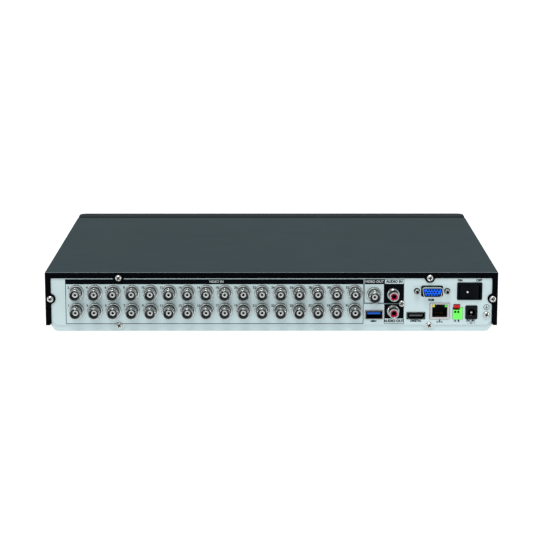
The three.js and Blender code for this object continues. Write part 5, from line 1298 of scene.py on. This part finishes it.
def fan_blade(shape, rotor, turn):
    grid = range(STEPS + 1)
    sheets = [[[shape.bm.verts.new(blade_point(rotor, turn, i, j, half)) for j in grid]
               for i in grid] for half in (-0.4, 0.4)]
    faces = [shape.bm.faces.new((s[i][j], s[i + 1][j], s[i + 1][j + 1], s[i][j + 1]))
             for s in sheets for i in grid[:-1] for j in grid[:-1]]
    edge = [(0, j) for j in grid] + [(i, STEPS) for i in grid[1:]]
    edge += [(STEPS, j) for j in grid[-2::-1]] + [(i, 0) for i in grid[-2:0:-1]]
    low, high = [[s[i][j] for i, j in edge] for s in sheets]
    faces += shape.strip(low, high)
    bmesh.ops.recalc_face_normals(shape.bm, faces=faces)


rotor = Place("fan_rotor")
shape = Shape(M["black"])
hub = [(0, 0), (9.0, 0), (9.4, 0.4), (9.4, rotor.w - 0.2), (9.2, rotor.w), (0, rotor.w)]
shape.lathe(hub, rotor.x0, rotor.z, rotor.y, 48, along="x")
for n in range(BLADES):
    fan_blade(shape, rotor, n * 2 * math.pi / BLADES)
shape.build("fan_impeller", node="fan_rotor", body="fan_wheel", slot="black_plastic", angle=40)

for n in (1, 2):
    refined(f"drive_lead_{n}", f"flat_lead_to_drive_{n}", M["lead"], 0.2, 50, slot="lead_black")
refined("front_ribbon", "ribbon_to_the_front", M["ribbon"], 0.15, angle=50, slot="lead_grey")
b = Place("indicator_board")
shape = Shape(M["board"], M["led_green"], M["led_amber"])
shape.box(b.x0, b.x1, b.y0, b.y1, b.z0, b.z1, 0.2, M["board"])
for n in range(6):
    x = b.x0 + 10 + n * 15
    key = "led_amber" if n == 5 else "led_green"
    shape.lathe([(0, 0), (1.5, 0), (1.5, 2.2), (1.1, 3.0), (0, 3.3)], x, b.z, b.y1 - 0.1, 24,
                mat=M[key], along="y")
shape.build("lamp_board", node="indicator_board", slot="board_green")

# ------------------------------------------------------------------ stage, light and camera

M["floor"] = material(
    "studio_floor", (150, 151, 152), rough=0.75, spec=0.1, vary=0.004, patch=3, rough_vary=0.03,
    grain=300, bump=0.02, depth=0.02, emit=((255, 255, 255), 0.85))
floor_mesh = bpy.data.meshes.new("studio_floor")
floor_mesh.from_pydata([(-14, -6, 0), (14, -6, 0), (14, 24, 0), (-14, 24, 0)], [], [(0, 1, 2, 3)])
floor_mesh.materials.append(M["floor"])
floor = placed("studio_floor", floor_mesh)

world = bpy.data.worlds.new("studio")
bpy.context.scene.world = world
world.use_nodes = True
wn, wl = world.node_tree.nodes, world.node_tree.links
sky = wn["Background"]
coords = wn.new("ShaderNodeTexCoord")
split = wn.new("ShaderNodeSeparateXYZ")
fade = wn.new("ShaderNodeValToRGB")
wl.new(coords.outputs["Generated"], split.inputs["Vector"])
wl.new(split.outputs["Z"], fade.inputs["Fac"])
stops = fade.color_ramp.elements
stops[0].position, stops[0].color = 0.0, (0.2, 0.21, 0.22, 1)
stops[1].position, stops[1].color = 0.9, (0.62, 0.62, 0.62, 1)
middle = stops.new(0.35)
middle.color = (0.46, 0.47, 0.48, 1)
wl.new(fade.outputs["Color"], sky.inputs["Color"])
sky.inputs["Strength"].default_value = 1.0


def softbox(name, place, target, size, power):
    light = bpy.data.lights.new(name, "AREA")
    light.shape = "RECTANGLE"
    light.size, light.size_y = size
    light.energy = power
    lamp = placed(name, light)
    lamp.location = place
    lamp.rotation_euler = (Vector(target) - Vector(place)).to_track_quat("-Z", "Y").to_euler()


softbox("fill_behind_camera", (-0.5, -2.4, 1.1), (0, -0.1, 0.03), (1.6, 0.8), 6)
softbox("strip_left", (-1.7, -1.0, 0.5), (0, -0.15, 0.03), (0.12, 1.0), 5)
softbox("strip_right", (1.7, -1.0, 0.5), (0, -0.15, 0.03), (0.12, 1.0), 7)
sun = bpy.data.lights.new("high_sun", "SUN")
sun.energy = 2.3
sun.angle = math.radians(24)
lamp = placed("high_sun", sun)
lamp.rotation_euler = Vector((0.1, 0.6, -1)).to_track_quat("-Z", "Y").to_euler()

camera_data = bpy.data.cameras.new("camera")
camera_data.sensor_width = 36
camera_data.lens = 118.64
camera_data.clip_end = 100
camera = placed("camera", camera_data)
camera.location = (0.0003, -1.6041, 0.3545)
camera.rotation_euler = (math.radians(78.3), 0, math.radians(-0.1))
bpy.context.scene.camera = camera
bpy.context.scene.view_settings.view_transform = "Standard"
